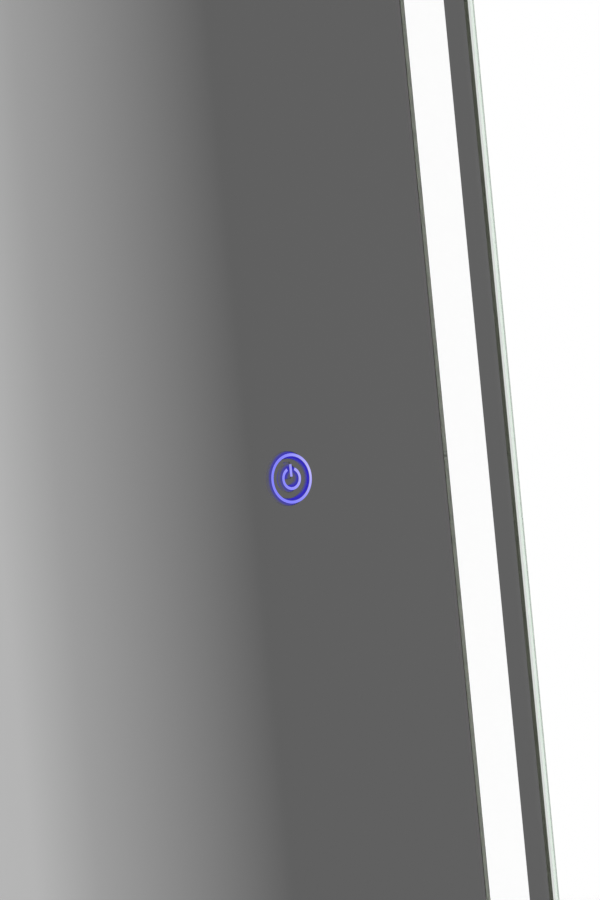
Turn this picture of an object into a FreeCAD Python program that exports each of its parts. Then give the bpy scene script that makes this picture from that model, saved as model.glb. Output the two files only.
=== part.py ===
import FreeCAD, Part
import math
import os
import Sketcher

# A wall-hung arched mirror with a lit, frosted band near its edge and a touch switch behind the glass.
# X runs across, Z up and Y into the wall: the wall is the plane y = 0 and the mirror faces -Y.
# The origin lies on the wall, midway between the two screws of the wall rail.
# Heights below are measured up from the bottom edge of the glass, and "forward" is the distance
# from the wall towards the room. All sizes are in millimetres.

SIZES = {
    # Glass
    "mirror_width": 600,
    "mirror_height": 900,
    "corner_radius": 10,
    "glass_thickness": 4,
    "glass_arris": 0.8,
    # Frosted light band, etched into the front of the glass
    "band_margin": 16,
    "band_width": 20,
    "band_corner": 4,
    "etch_depth": 0.3,
    "etch_clearance": 0.05,
    # Coats on the back of the glass
    "coat_clearance": 0.05,
    "paint_margin": 1,
    "paint_overlap": 0.2,
    "silver_margin": 2.1,
    "silver_thickness": 0.15,
    "silver_setback": 0.3,
    "paint_thickness": 0.2,
    # Touch icon: a ring round a power symbol
    "icon_from_edge": 111.75,
    "icon_height": 300,
    "icon_ring_radius": 8.85,
    "icon_stroke": 1.15,
    "symbol_radius": 3.8,
    "symbol_gap": 3.6,
    "symbol_bar_low": 0.65,
    "symbol_bar_high": 5.35,
    "icon_slot_growth": 0.75,
    "icon_setback": 0.1,
    # Frame behind the glass
    "wall_gap": 9,
    "panel_thickness": 1,
    "panel_setback": 0.5,
    "panel_corner": 2,
    "frame_inset": 8,
    "frame_depth": 29,
    "frame_wall": 1.5,
    "front_flange": 5.5,
    "back_flange": 14,
    "joint_gap": 0.2,
    "tape_thickness": 1,
    "tape_width": 4.5,
    "tape_setback": 0.5,
    "tape_corner": 1,
    # Corner brackets
    "bracket_leg": 30,
    "bracket_width": 8,
    "bracket_thickness": 2,
    "bracket_offset": 1,
    "bracket_screw_place": 18,
    "bracket_screw_radius": 2,
    "bracket_screw_head": 3.8,
    "bracket_screw_head_height": 2,
    "bracket_screw_length": 5,
    # Back panel screws
    "screw_clearance": 0.1,
    "panel_screw_inset": 15,
    "panel_screw_radius": 1.5,
    "panel_screw_head": 3.2,
    "panel_screw_head_height": 1.8,
    "panel_screw_length": 6,
    "side_screw_low": 70,
    "bottom_screw_spacing": 190,
    # Light strip
    "strip_offset": 13,
    "strip_width": 10,
    "strip_thickness": 0.4,
    "strip_end_height": 22,
    "chip_length": 3.5,
    "chip_width": 2.8,
    "chip_height": 0.8,
    "chip_pitch": 25,
    "solder_height": 0.05,
    # Light driver, a lidded case screwed to the back panel
    "driver_x": 40,
    "driver_height": 172,
    "driver_length": 160,
    "driver_width": 44,
    "driver_depth": 22,
    "driver_wall": 1.5,
    "driver_ear": 12,
    "driver_ear_thickness": 2,
    "driver_ear_screw_drop": 13,
    "driver_post_radius": 3,
    "driver_post_height": 3,
    "driver_lip": 2.5,
    "driver_lip_clearance": 0.2,
    "board_margin": 2,
    "board_thickness": 1.6,
    "transformer_x": 25,
    "transformer_length": 22,
    "transformer_width": 24,
    "transformer_depth": 13,
    "winding_width": 14,
    "winding_depth": 9,
    "capacitor_x": 60,
    "capacitor_radius": 5,
    "capacitor_spacing": 14,
    "capacitor_depth": 12,
    "fixing_screw_radius": 1.7,
    "fixing_screw_head": 3.4,
    "fixing_screw_head_height": 1.8,
    "fixing_screw_length": 5,
    # Terminal block and cable inlet
    "terminal_x": -110,
    "terminal_height": 172,
    "terminal_length": 20,
    "terminal_width": 36,
    "terminal_depth": 15,
    "pole_pitch": 11,
    "pole_forward": 6,
    "terminal_screw_radius": 1.6,
    "terminal_screw_place": 5.5,
    "terminal_screw_sunk": 1,
    "terminal_screw_length": 5,
    "grommet_x": -170,
    "grommet_height": 172,
    "grommet_bore": 4,
    "grommet_neck": 6,
    "grommet_flange": 9,
    "grommet_flange_thickness": 2,
    # Earth screw and its tag
    "earth_x": -116,
    "earth_height": 135,
    "earth_screw_radius": 2,
    "earth_screw_head": 3.8,
    "earth_screw_head_height": 2.2,
    "earth_screw_length": 6,
    "tag_radius": 5,
    "tag_thickness": 0.8,
    "tag_barrel_radius": 1.8,
    "tag_barrel_start": 4.4,
    "tag_barrel_length": 9,
    # Touch sensor behind the icon
    "sensor_side": 40,
    "sensor_depth": 10,
    "sensor_wall": 2,
    "sensor_floor": 2,
    "sensor_ledge": 2,
    "sensor_board_clearance": 0.2,
    "sensor_board_thickness": 1.2,
    "gasket_thickness": 1,
    "foil_thickness": 0.1,
    "foil_outer": 17,
    "foil_inner": 13,
    "diffuser_radius": 12.5,
    "diffuser_wall": 1.2,
    "diffuser_clearance": 0.1,
    "sensor_led_side": 3,
    "sensor_led_height": 1.2,
    "sensor_led_place": 5,
    # Leads inside the case
    "mains_lead_radius": 1.2,
    "lamp_lead_radius": 1.6,
    "lead_clearance": 0.3,
    "lead_entry": 6,
    "lead_bend": 20,
    "strip_solder_edge": 1.9,
    "clip_length": 8,
    "clip_width": 9,
    "clip_depth": 6,
    # Rails that hang the mirror on the wall
    "rail_above_spring": 40,
    "rail_thickness": 2,
    "wall_rail_length": 400,
    "wall_rail_below": 12,
    "wall_rail_above": 12,
    "wall_rail_lip": 14,
    "wall_hole_radius": 2.75,
    "wall_hole_spacing": 300,
    "hook_gap": 4,
    "hook_clearance": 1,
    "hook_depth": 12,
    "hanging_rail_length": 380,
    "hanging_rail_height": 24,
    "rivet_radius": 2.4,
    "rivet_head": 4.6,
    "rivet_head_height": 1.4,
    "rivet_bulb": 3.6,
    "rivet_bulb_length": 3,
    "rivet_spacing": 110,
    # Rubber buffers between the panel and the wall
    "buffer_radius": 11,
    "buffer_round": 2,
    "buffer_from_centre": 200,
    "buffer_height": 70,
}

doc = FreeCAD.newDocument("led_arch_mirror")
sheet = doc.addObject("Spreadsheet::Sheet", "Dim")
for row, (alias, value) in enumerate(SIZES.items(), start=1):
    sheet.set(f"A{row}", alias)
    sheet.set(f"B{row}", str(value))
    sheet.setAlias(f"B{row}", alias)
doc.recompute()

# Places that several pieces share, as expressions on the sheet
HALF_WIDTH = "Dim.mirror_width / 2"
SPRING = "(Dim.mirror_height - Dim.mirror_width / 2)"
SCREW_LINE = f"({SPRING} + Dim.rail_above_spring)"
PANEL_FRONT = "(Dim.wall_gap + Dim.panel_thickness)"
FLANGE_FRONT = f"({PANEL_FRONT} + Dim.frame_wall)"
FRAME_FRONT = f"({PANEL_FRONT} + Dim.frame_depth)"
FRAME_INNER = "(Dim.frame_inset + Dim.frame_wall)"
PAINT_REAR = f"({FRAME_FRONT} + Dim.tape_thickness)"
SILVER_REAR = f"({PAINT_REAR} + Dim.paint_thickness)"
GLASS_REAR = f"({SILVER_REAR} + Dim.silver_thickness + Dim.coat_clearance)"
GLASS_FRONT = f"({GLASS_REAR} + Dim.glass_thickness)"
BAND_INNER = "(Dim.band_margin + Dim.band_width)"
ICON_X = f"({HALF_WIDTH} - Dim.icon_from_edge)"
ICON_HEIGHT = "Dim.icon_height"

RIGHT = FreeCAD.Vector(1, 0, 0)
LEFT = FreeCAD.Vector(-1, 0, 0)
UP = FreeCAD.Vector(0, 0, 1)
DOWN = FreeCAD.Vector(0, 0, -1)
REARWARD = FreeCAD.Vector(0, 1, 0)
FORWARD = FreeCAD.Vector(0, -1, 0)

nodes = {}


def number(expression):
    """The value of an expression on the sheet."""
    return float(sheet.evalExpression(expression))


def point(x, forward, height):
    """A place given as expressions, in the part's own frame."""
    return FreeCAD.Vector(number(x), -number(forward), number(height) - number(SCREW_LINE))


def node(label, piece):
    """List a finished piece under the name of its file."""
    piece.Label = label
    nodes[label] = piece
    return piece


# Sketches, whose sizes follow the sheet

ORIGIN, UPRIGHT = range(-1, -3, -1)
START, END, CENTRE = range(1, 4)


class Drawing:
    """A sketch on one of a body's planes; on the plane of the wall its y is a height on the glass."""

    def __init__(self, body, out, plane="XZ_Plane", up=f"-{SCREW_LINE}"):
        self.sketch = body.newObject("Sketcher::SketchObject", f"{body.Name}_drawing")
        support = next(f for f in body.Origin.OriginFeatures if f.Role == plane)
        self.sketch.AttachmentSupport = [(support, "")]
        self.sketch.MapMode = "FlatFace"
        self.sketch.setExpression("AttachmentOffset.Base.y", up)
        self.sketch.setExpression("AttachmentOffset.Base.z", out)

    def tie(self, kind, *where, to=None):
        """Add a constraint, and bind its size to the sheet if it has one."""
        if to is None:
            self.sketch.addConstraint(Sketcher.Constraint(kind, *where))
            return
        index = self.sketch.addConstraint(Sketcher.Constraint(kind, *where, number(to)))
        self.sketch.setExpression(f"Constraints[{index}]", to)

    def pin(self, geometry, end, x, y):
        """Hold a point of the sketch at x, y."""
        self.tie("DistanceX", ORIGIN, START, geometry, end, to=x)
        self.tie("DistanceY", ORIGIN, START, geometry, end, to=y)

    def line(self, start, end):
        return self.sketch.addGeometry(Part.LineSegment(FreeCAD.Vector(*start), FreeCAD.Vector(*end)), False)

    def arc(self, centre, radius, first, last):
        """An arc from the first angle to the last, in degrees, anticlockwise."""
        circle = Part.Circle(FreeCAD.Vector(*centre), UP, radius)
        bow = Part.ArcOfCircle(circle, math.radians(first), math.radians(last))
        return self.sketch.addGeometry(bow, False)

    def circle(self, x, y, radius):
        middle = FreeCAD.Vector(number(x), number(y), 0)
        geometry = self.sketch.addGeometry(Part.Circle(middle, UP, number(radius)), False)
        self.pin(geometry, CENTRE, x, y)
        self.tie("Radius", geometry, to=radius)

    def polygon(self, *corners):
        places = [(number(x), number(y)) for x, y in corners]
        lines = [self.line(a, b) for a, b in zip(places, places[1:] + places[:1])]
        for this, following, (x, y) in zip(lines, lines[1:] + lines[:1], corners):
            self.tie("Coincident", this, END, following, START)
            self.pin(this, START, x, y)

    def rectangle(self, left, right, low, high):
        self.polygon((left, low), (right, low), (right, high), (left, high))

    def arch(self, inset, corner):
        """The outline of the glass moved in by inset, with rounded lower corners."""
        half = number(f"{HALF_WIDTH} - ({inset})")
        base = number(inset)
        spring = number(SPRING)
        turn = number(corner)
        bottom = self.line((turn - half, base), (half - turn, base))
        right_corner = self.arc((half - turn, base + turn), turn, -90, 0)
        right = self.line((half, base + turn), (half, spring))
        crown = self.arc((0, spring), half, 0, 180)
        left = self.line((-half, spring), (-half, base + turn))
        left_corner = self.arc((turn - half, base + turn), turn, 180, 270)
        loop = [bottom, right_corner, right, crown, left, left_corner]
        for this, following in zip(loop, loop[1:] + loop[:1]):
            self.tie("Tangent", this, END, following, START)
        self.tie("Horizontal", bottom)
        self.tie("Vertical", right)
        self.tie("Vertical", left)
        self.tie("PointOnObject", crown, CENTRE, UPRIGHT)
        self.tie("DistanceY", ORIGIN, START, crown, CENTRE, to=SPRING)
        self.tie("DistanceY", ORIGIN, START, bottom, START, to=inset)
        self.tie("Radius", crown, to=f"{HALF_WIDTH} - ({inset})")
        self.tie("Radius", right_corner, to=corner)
        self.tie("Radius", left_corner, to=corner)

    def open_arch(self, outer, inner, low):
        """A strip that runs up one side, over the arch and down the other, between two insets."""
        wide = number(f"{HALF_WIDTH} - ({outer})")
        narrow = number(f"{HALF_WIDTH} - ({inner})")
        base = number(low)
        spring = number(SPRING)
        outer_right = self.line((wide, base), (wide, spring))
        outer_crown = self.arc((0, spring), wide, 0, 180)
        outer_left = self.line((-wide, spring), (-wide, base))
        left_end = self.line((-wide, base), (-narrow, base))
        inner_left = self.line((-narrow, base), (-narrow, spring))
        inner_crown = self.arc((0, spring), narrow, 0, 180)
        inner_right = self.line((narrow, spring), (narrow, base))
        right_end = self.line((narrow, base), (wide, base))
        self.tie("Tangent", outer_right, END, outer_crown, START)
        self.tie("Tangent", outer_crown, END, outer_left, START)
        self.tie("Coincident", outer_left, END, left_end, START)
        self.tie("Coincident", left_end, END, inner_left, START)
        self.tie("Tangent", inner_left, END, inner_crown, END)
        self.tie("Tangent", inner_crown, START, inner_right, START)
        self.tie("Coincident", inner_right, END, right_end, START)
        self.tie("Coincident", right_end, END, outer_right, START)
        for upright in (outer_right, outer_left, inner_left, inner_right):
            self.tie("Vertical", upright)
        for end in (left_end, right_end):
            self.tie("Horizontal", end)
            self.tie("DistanceY", ORIGIN, START, end, START, to=low)
        self.tie("PointOnObject", outer_crown, CENTRE, UPRIGHT)
        self.tie("Coincident", inner_crown, CENTRE, outer_crown, CENTRE)
        self.tie("DistanceY", ORIGIN, START, outer_crown, CENTRE, to=SPRING)
        self.tie("Radius", outer_crown, to=f"{HALF_WIDTH} - ({outer})")
        self.tie("Radius", inner_crown, to=f"{HALF_WIDTH} - ({inner})")

    def icon_rings(self, grow):
        """The ring and the broken ring of the touch icon, each line grown by grow on both sides."""
        half_stroke = f"(Dim.icon_stroke / 2 + ({grow}))"
        self.circle(ICON_X, ICON_HEIGHT, f"Dim.icon_ring_radius + {half_stroke}")
        self.circle(ICON_X, ICON_HEIGHT, f"Dim.icon_ring_radius - {half_stroke}")
        half_gap = f"(Dim.symbol_gap / 2 - ({grow}))"
        outer_radius = f"Dim.symbol_radius + {half_stroke}"
        inner_radius = f"Dim.symbol_radius - {half_stroke}"
        middle = (number(ICON_X), number(ICON_HEIGHT))
        opening = math.degrees(math.asin(number(half_gap) / number(outer_radius)))
        outer = self.arc(middle, number(outer_radius), 90 + opening, 450 - opening)
        inner = self.arc(middle, number(inner_radius), 90 + opening, 450 - opening)
        outer_start, outer_end = (self.sketch.getPoint(outer, end) for end in (START, END))
        inner_start, inner_end = (self.sketch.getPoint(inner, end) for end in (START, END))
        left_end = self.line(inner_start, outer_start)
        right_end = self.line(outer_end, inner_end)
        self.tie("Coincident", left_end, END, outer, START)
        self.tie("Coincident", left_end, START, inner, START)
        self.tie("Coincident", right_end, START, outer, END)
        self.tie("Coincident", right_end, END, inner, END)
        self.tie("Coincident", inner, CENTRE, outer, CENTRE)
        self.pin(outer, CENTRE, ICON_X, ICON_HEIGHT)
        self.tie("Radius", outer, to=outer_radius)
        self.tie("Radius", inner, to=inner_radius)
        self.tie("PointOnObject", outer, CENTRE, left_end)
        self.tie("PointOnObject", outer, CENTRE, right_end)
        self.tie("DistanceX", ORIGIN, START, outer, START, to=f"{ICON_X} - {half_gap}")
        self.tie("DistanceX", ORIGIN, START, outer, END, to=f"{ICON_X} + {half_gap}")

    def icon_bar(self, grow):
        """The bar of the touch icon, grown by grow on all sides."""
        half_stroke = f"(Dim.icon_stroke / 2 + ({grow}))"
        self.rectangle(f"{ICON_X} - {half_stroke}", f"{ICON_X} + {half_stroke}",
                       f"{ICON_HEIGHT} + Dim.symbol_bar_low - ({grow})",
                       f"{ICON_HEIGHT} + Dim.symbol_bar_high + ({grow})")


# Features and plain solids

def new_body(label):
    return doc.addObject("PartDesign::Body", label)


def pad(body, drawing, length):
    feature = body.newObject("PartDesign::Pad", f"{body.Name}_pad")
    feature.Profile = drawing.sketch
    feature.setExpression("Length", length)
    doc.recompute()
    return feature


def pocket(body, drawing, depth):
    """Cut towards the wall from the drawing's plane."""
    before = body.Shape.Volume
    feature = body.newObject("PartDesign::Pocket", f"{body.Name}_pocket")
    feature.Profile = drawing.sketch
    feature.setExpression("Length", depth)
    doc.recompute()
    if body.Shape.Volume >= before:
        raise RuntimeError(f"{feature.Name} cuts nothing")
    return feature


def rod(name, x, forward, height, direction, radius, length):
    """A cylinder that starts at a place and runs along a direction."""
    cylinder = doc.addObject("Part::Cylinder", name)
    cylinder.Placement = FreeCAD.Placement(FreeCAD.Vector(), FreeCAD.Rotation(UP, direction))
    cylinder.setExpression("Placement.Base.x", x)
    cylinder.setExpression("Placement.Base.y", f"-({forward})")
    cylinder.setExpression("Placement.Base.z", f"({height}) - {SCREW_LINE}")
    cylinder.setExpression("Radius", radius)
    cylinder.setExpression("Height", length)
    return cylinder


def group(name, pieces):
    compound = doc.addObject("Part::Compound", name)
    compound.Links = pieces
    return compound


def cut(name, base, tool):
    result = doc.addObject("Part::Cut", name)
    result.Base = base
    result.Tool = tool
    return result


def fuse(name, pieces):
    result = doc.addObject("Part::MultiFuse", name)
    result.Shapes = pieces
    return result


def shaped(name, shape):
    feature = doc.addObject("Part::Feature", name)
    feature.Shape = shape
    return feature


def turned_screw(radius, length, head_radius, head_height):
    """A pan-head screw with a cross recess: the head stands on z = 0 and the shank runs down from it."""
    rim = 0.45 * head_height
    crown = 0.45 * head_radius
    shoulder = FreeCAD.Vector(0.845 * head_radius, 0, 0.86 * head_height)
    tip = 0.3 * radius
    edges = Part.makePolygon([
        FreeCAD.Vector(0, 0, head_height), FreeCAD.Vector(0, 0, -length),
        FreeCAD.Vector(radius - tip, 0, -length), FreeCAD.Vector(radius, 0, tip - length),
        FreeCAD.Vector(radius, 0, 0), FreeCAD.Vector(head_radius, 0, 0),
        FreeCAD.Vector(head_radius, 0, rim)]).Edges
    dome = Part.Arc(FreeCAD.Vector(head_radius, 0, rim), shoulder, FreeCAD.Vector(crown, 0, head_height))
    edges.append(dome.toShape())
    edges.append(Part.makeLine(FreeCAD.Vector(crown, 0, head_height), FreeCAD.Vector(0, 0, head_height)))
    screw = Part.Face(Part.Wire(edges)).revolve(FreeCAD.Vector(), UP, 360)
    slot = 0.22 * head_radius
    reach = 0.62 * head_radius
    depth = 0.6 * head_height
    for wide, deep in ((reach, slot), (slot, reach)):
        corner = FreeCAD.Vector(-wide, -deep, head_height - depth)
        screw = screw.cut(Part.makeBox(2 * wide, 2 * deep, 2 * depth, corner))
    return screw


def copies(label, shape, places):
    """The same shape at several places, each a point and the way its z axis turns."""
    placed = []
    for where, direction in places:
        copy = shape.copy()
        copy.Placement = FreeCAD.Placement(where, FreeCAD.Rotation(UP, direction))
        placed.append(copy)
    return node(label, shaped(label, Part.makeCompound(placed)))


def lead(points, radius):
    """A round wire on straight runs joined by tangent arcs, which start at most lead_bend from a corner."""
    largest_share = 0.45
    longest_trim = number("Dim.lead_bend")
    edges = []
    start = points[0]
    for before, corner, after in zip(points, points[1:], points[2:]):
        arriving = (corner - before).normalize()
        leaving = (after - corner).normalize()
        shorter_run = min((corner - before).Length, (after - corner).Length)
        trim = min(largest_share * shorter_run, longest_trim)
        half_turn = arriving.getAngle(leaving) / 2
        bend = trim / math.tan(half_turn)
        inward = (leaving - arriving).normalize()
        into = corner - arriving * trim
        out = corner + leaving * trim
        middle = corner + inward * (bend / math.cos(half_turn) - bend)
        edges.append(Part.LineSegment(start, into).toShape())
        edges.append(Part.Arc(into, middle, out).toShape())
        start = out
    edges.append(Part.LineSegment(start, points[-1]).toShape())
    path = Part.Wire(edges)
    heading = (points[1] - points[0]).normalize()
    section = Part.Wire(Part.Circle(points[0], heading, radius).toShape())
    wire = path.makePipeShell([section], True, False)
    expected = math.pi * radius ** 2 * path.Length
    if abs(wire.Volume / expected - 1) > 0.01:
        raise RuntimeError("a lead's volume doesn't fit its length")
    return wire


# Mirror glass: clear float glass with ground edges, etched on its front along the band and the icon

mirror_glass = node("mirror_glass", new_body("mirror_glass"))
glass_outline = Drawing(mirror_glass, GLASS_REAR)
glass_outline.arch("0", "Dim.corner_radius")
glass_plate = pad(mirror_glass, glass_outline, "Dim.glass_thickness")
flat = 1e-6
rims = [f"Edge{n}" for n, edge in enumerate(glass_plate.Shape.Edges, 1) if edge.BoundBox.YLength < flat]
arris = mirror_glass.newObject("PartDesign::Chamfer", "glass_arris")
arris.Base = (glass_plate, rims)
arris.setExpression("Size", "Dim.glass_arris")
doc.recompute()
etching = Drawing(mirror_glass, GLASS_FRONT)
etching.arch("Dim.band_margin", "Dim.band_corner")
etching.arch(BAND_INNER, "Dim.band_corner")
etching.icon_rings("0")
pocket(mirror_glass, etching, "Dim.etch_depth")
bar_etching = Drawing(mirror_glass, GLASS_FRONT)
bar_etching.icon_bar("0")
pocket(mirror_glass, bar_etching, "Dim.etch_depth")

# Frosted band and touch icon: the etched layers, which stand a hair clear of the clear glass round them

ETCH_FLOOR = f"({GLASS_FRONT} - Dim.etch_depth + Dim.etch_clearance)"
ETCH_LAYER = "Dim.etch_depth - Dim.etch_clearance"
frosted_band = node("frosted_band", new_body("frosted_band"))
band_outline = Drawing(frosted_band, ETCH_FLOOR)
band_outline.arch("Dim.band_margin + Dim.etch_clearance", "Dim.band_corner")
band_outline.arch(f"{BAND_INNER} - Dim.etch_clearance", "Dim.band_corner")
pad(frosted_band, band_outline, ETCH_LAYER)

touch_icon = node("touch_icon", new_body("touch_icon"))
icon_outline = Drawing(touch_icon, ETCH_FLOOR)
icon_outline.icon_rings("-Dim.etch_clearance")
pad(touch_icon, icon_outline, ETCH_LAYER)
bar_outline = Drawing(touch_icon, ETCH_FLOOR)
bar_outline.icon_bar("-Dim.etch_clearance")
pad(touch_icon, bar_outline, ETCH_LAYER)

# Silver and its backing paint: both are cleared along the band and, wider than its lines, at the icon.
# The paint reaches a little way under the band, and the silver is set back from it there, at the icon and
# at the edge of the glass


def coat(label, rear, thickness, edge, setback, slot_growth):
    """A coat on the back of the glass, up to its edge, with the band and the icon left open."""
    body = node(label, new_body(label))
    outline = Drawing(body, rear)
    outline.arch(edge, f"Dim.corner_radius - {edge}")
    outline.arch(f"Dim.band_margin - ({setback})", "Dim.band_corner")
    outline.arch(f"{BAND_INNER} + ({setback})", "Dim.band_corner")
    pad(body, outline, thickness)
    for part in (Drawing.icon_rings, Drawing.icon_bar):
        slot = Drawing(body, f"{rear} + {thickness}")
        part(slot, slot_growth)
        pocket(body, slot, thickness)


PAINT_EDGE = "(Dim.glass_arris + Dim.paint_margin)"
coat("paint_coat", PAINT_REAR, "Dim.paint_thickness", PAINT_EDGE, "-Dim.paint_overlap",
     "Dim.icon_slot_growth")
coat("silver_coat", SILVER_REAR, "Dim.silver_thickness", f"({PAINT_EDGE} + Dim.silver_margin)",
     "Dim.silver_setback", "Dim.icon_slot_growth + Dim.icon_setback")

# Bonding tape: a loop of foam tape between the frame's front flange and the painted glass

bonding_tape = node("bonding_tape", new_body("bonding_tape"))
tape_outline = Drawing(bonding_tape, FRAME_FRONT)
tape_outline.arch("Dim.frame_inset + Dim.tape_setback", "Dim.tape_corner")
tape_outline.arch("Dim.frame_inset + Dim.tape_setback + Dim.tape_width", "Dim.tape_corner")
pad(bonding_tape, tape_outline, "Dim.tape_thickness")

# Where the screws of the back panel go: round the arch, up both sides and along the bottom

ARCH_SCREW_RADIUS = f"({HALF_WIDTH} - Dim.panel_screw_inset)"
arch_screw_angles = (18, 54, 90, 126, 162)
side_screw_count = 3
arch_screws = []
for angle in arch_screw_angles:
    arch_screws.append((f"{ARCH_SCREW_RADIUS} * cos({angle} deg)",
                        f"{SPRING} + {ARCH_SCREW_RADIUS} * sin({angle} deg)"))
for side in (-1, 1):
    for step in range(side_screw_count):
        share = step / (side_screw_count - 1)
        arch_screws.append((f"({side}) * {ARCH_SCREW_RADIUS}",
                            f"Dim.side_screw_low + ({SPRING} - 2 * Dim.side_screw_low) * {share}"))
bottom_screws = [(f"({step}) * Dim.bottom_screw_spacing", "Dim.panel_screw_inset") for step in (-1, 0, 1)]
PANEL_SCREW_HOLE = "Dim.panel_screw_radius + Dim.screw_clearance"

# Frame: aluminium channel, one length bent into the arch and a straight one along the bottom

FRAME_BACK_EDGE = "Dim.frame_inset + Dim.back_flange"
FRAME_FRONT_EDGE = "Dim.frame_inset + Dim.front_flange"
FRONT_FLANGE_REAR = f"{FRAME_FRONT} - Dim.frame_wall"

arch_channel = new_body("arch_channel")
arch_wall = Drawing(arch_channel, PANEL_FRONT)
arch_wall.open_arch("Dim.frame_inset", FRAME_INNER, "Dim.frame_inset")
pad(arch_channel, arch_wall, "Dim.frame_depth")
arch_back = Drawing(arch_channel, PANEL_FRONT)
arch_back.open_arch("Dim.frame_inset", FRAME_BACK_EDGE, "Dim.frame_inset")
for x, height in arch_screws:
    arch_back.circle(x, height, PANEL_SCREW_HOLE)
pad(arch_channel, arch_back, "Dim.frame_wall")
arch_front = Drawing(arch_channel, FRONT_FLANGE_REAR)
arch_front.open_arch("Dim.frame_inset", FRAME_FRONT_EDGE, "Dim.frame_inset")
pad(arch_channel, arch_front, "Dim.frame_wall")

bottom_channel = new_body("bottom_channel")


def bottom_strip(out, depth, high, side_edge, holes=()):
    """One wall of the bottom channel, up to a height, with its ends clear of what the sides have there."""
    drawing = Drawing(bottom_channel, out)
    reach = f"({HALF_WIDTH} - ({side_edge}) - Dim.joint_gap)"
    drawing.rectangle(f"-{reach}", reach, "Dim.frame_inset", high)
    for x, height in holes:
        drawing.circle(x, height, PANEL_SCREW_HOLE)
    pad(bottom_channel, drawing, depth)


bottom_strip(PANEL_FRONT, "Dim.frame_depth", FRAME_INNER, FRAME_BACK_EDGE)
bottom_strip(f"{FLANGE_FRONT} + Dim.joint_gap", "Dim.frame_depth - 2 * (Dim.frame_wall + Dim.joint_gap)",
             FRAME_INNER, FRAME_INNER)
bottom_strip(PANEL_FRONT, "Dim.frame_wall", FRAME_BACK_EDGE, FRAME_BACK_EDGE, bottom_screws)
bottom_strip(FRONT_FLANGE_REAR, "Dim.frame_wall", FRAME_FRONT_EDGE, FRAME_FRONT_EDGE)

# Corner brackets: angles that join the two channels, one screw through each leg

bracket_angles = new_body("bracket_angles")
BRACKET_REAR = f"({FLANGE_FRONT} + Dim.bracket_offset)"
bracket_outline = Drawing(bracket_angles, BRACKET_REAR)
BRACKET_OUT = f"({HALF_WIDTH} - {FRAME_INNER})"
LEG_END = f"({FRAME_INNER} + Dim.bracket_leg)"
LEG_INNER = f"({FRAME_INNER} + Dim.bracket_thickness)"
for side in (-1, 1):
    outer_x = f"({side}) * {BRACKET_OUT}"
    inner_x = f"({side}) * ({HALF_WIDTH} - {LEG_INNER})"
    end_x = f"({side}) * ({HALF_WIDTH} - {LEG_END})"
    bracket_outline.polygon((outer_x, FRAME_INNER), (outer_x, LEG_END), (inner_x, LEG_END),
                            (inner_x, LEG_INNER), (end_x, LEG_INNER), (end_x, FRAME_INNER))
pad(bracket_angles, bracket_outline, "Dim.bracket_width")

BRACKET_SCREW_FORWARD = f"({BRACKET_REAR} + Dim.bracket_width / 2)"
BRACKET_SCREW_PLACE = f"({FRAME_INNER} + Dim.bracket_screw_place)"
BRACKET_HOLE = "Dim.bracket_screw_radius + Dim.screw_clearance"
BRACKET_HOLE_LENGTH = "Dim.frame_wall + Dim.bracket_thickness"
bracket_screw_places = []
bracket_holes = []
for side, outward, inward in ((-1, LEFT, RIGHT), (1, RIGHT, LEFT)):
    wall_x = f"({side}) * ({HALF_WIDTH} - Dim.frame_inset)"
    foot_x = f"({side}) * ({HALF_WIDTH} - {BRACKET_SCREW_PLACE})"
    bracket_holes.append(rod("side_hole", wall_x, BRACKET_SCREW_FORWARD, BRACKET_SCREW_PLACE, inward,
                             BRACKET_HOLE, BRACKET_HOLE_LENGTH))
    bracket_holes.append(rod("foot_hole", foot_x, BRACKET_SCREW_FORWARD, "Dim.frame_inset", UP,
                             BRACKET_HOLE, BRACKET_HOLE_LENGTH))
    bracket_screw_places.append((point(wall_x, BRACKET_SCREW_FORWARD, BRACKET_SCREW_PLACE), outward))
    bracket_screw_places.append((point(foot_x, BRACKET_SCREW_FORWARD, "Dim.frame_inset"), DOWN))
bracket_drills = group("bracket_drills", bracket_holes)

node("arch_frame", cut("arch_frame", arch_channel, bracket_drills))
node("bottom_frame", cut("bottom_frame", bottom_channel, bracket_drills))
node("corner_brackets", cut("corner_brackets", bracket_angles, bracket_drills))
bracket_screw = turned_screw(number("Dim.bracket_screw_radius"), number("Dim.bracket_screw_length"),
                             number("Dim.bracket_screw_head"), number("Dim.bracket_screw_head_height"))
copies("bracket_screws", bracket_screw, bracket_screw_places)

# Places on the back panel: driver ears, terminal block, earth, cable inlet and rivets of the hanging rail

DRIVER_LEFT = "(Dim.driver_x - Dim.driver_length / 2)"
DRIVER_RIGHT = "(Dim.driver_x + Dim.driver_length / 2)"
DRIVER_LOW = "(Dim.driver_height - Dim.driver_width / 2)"
DRIVER_HIGH = "(Dim.driver_height + Dim.driver_width / 2)"
RAIL_SEAT = "(Dim.wall_rail_above + Dim.wall_rail_lip)"
RIVET_HEIGHT = f"({SCREW_LINE} + {RAIL_SEAT} + Dim.rail_thickness + Dim.hanging_rail_height / 2)"
EAR_SCREW_HEIGHT = "(Dim.driver_height - Dim.driver_ear_screw_drop)"
fixing_places = [(f"{DRIVER_LEFT} - Dim.driver_ear / 2", EAR_SCREW_HEIGHT),
                 (f"{DRIVER_RIGHT} + Dim.driver_ear / 2", EAR_SCREW_HEIGHT),
                 ("Dim.terminal_x", "Dim.terminal_height + Dim.pole_pitch / 2")]
rivet_places = [(f"({step}) * Dim.rivet_spacing", RIVET_HEIGHT) for step in (-1.5, -0.5, 0.5, 1.5)]
FIXING_HOLE = "Dim.fixing_screw_radius + Dim.screw_clearance"
EARTH_HOLE = "Dim.earth_screw_radius + Dim.screw_clearance"
RIVET_HOLE = "Dim.rivet_radius + Dim.screw_clearance"

# Back panel: a flat metal sheet that closes the frame

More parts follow.
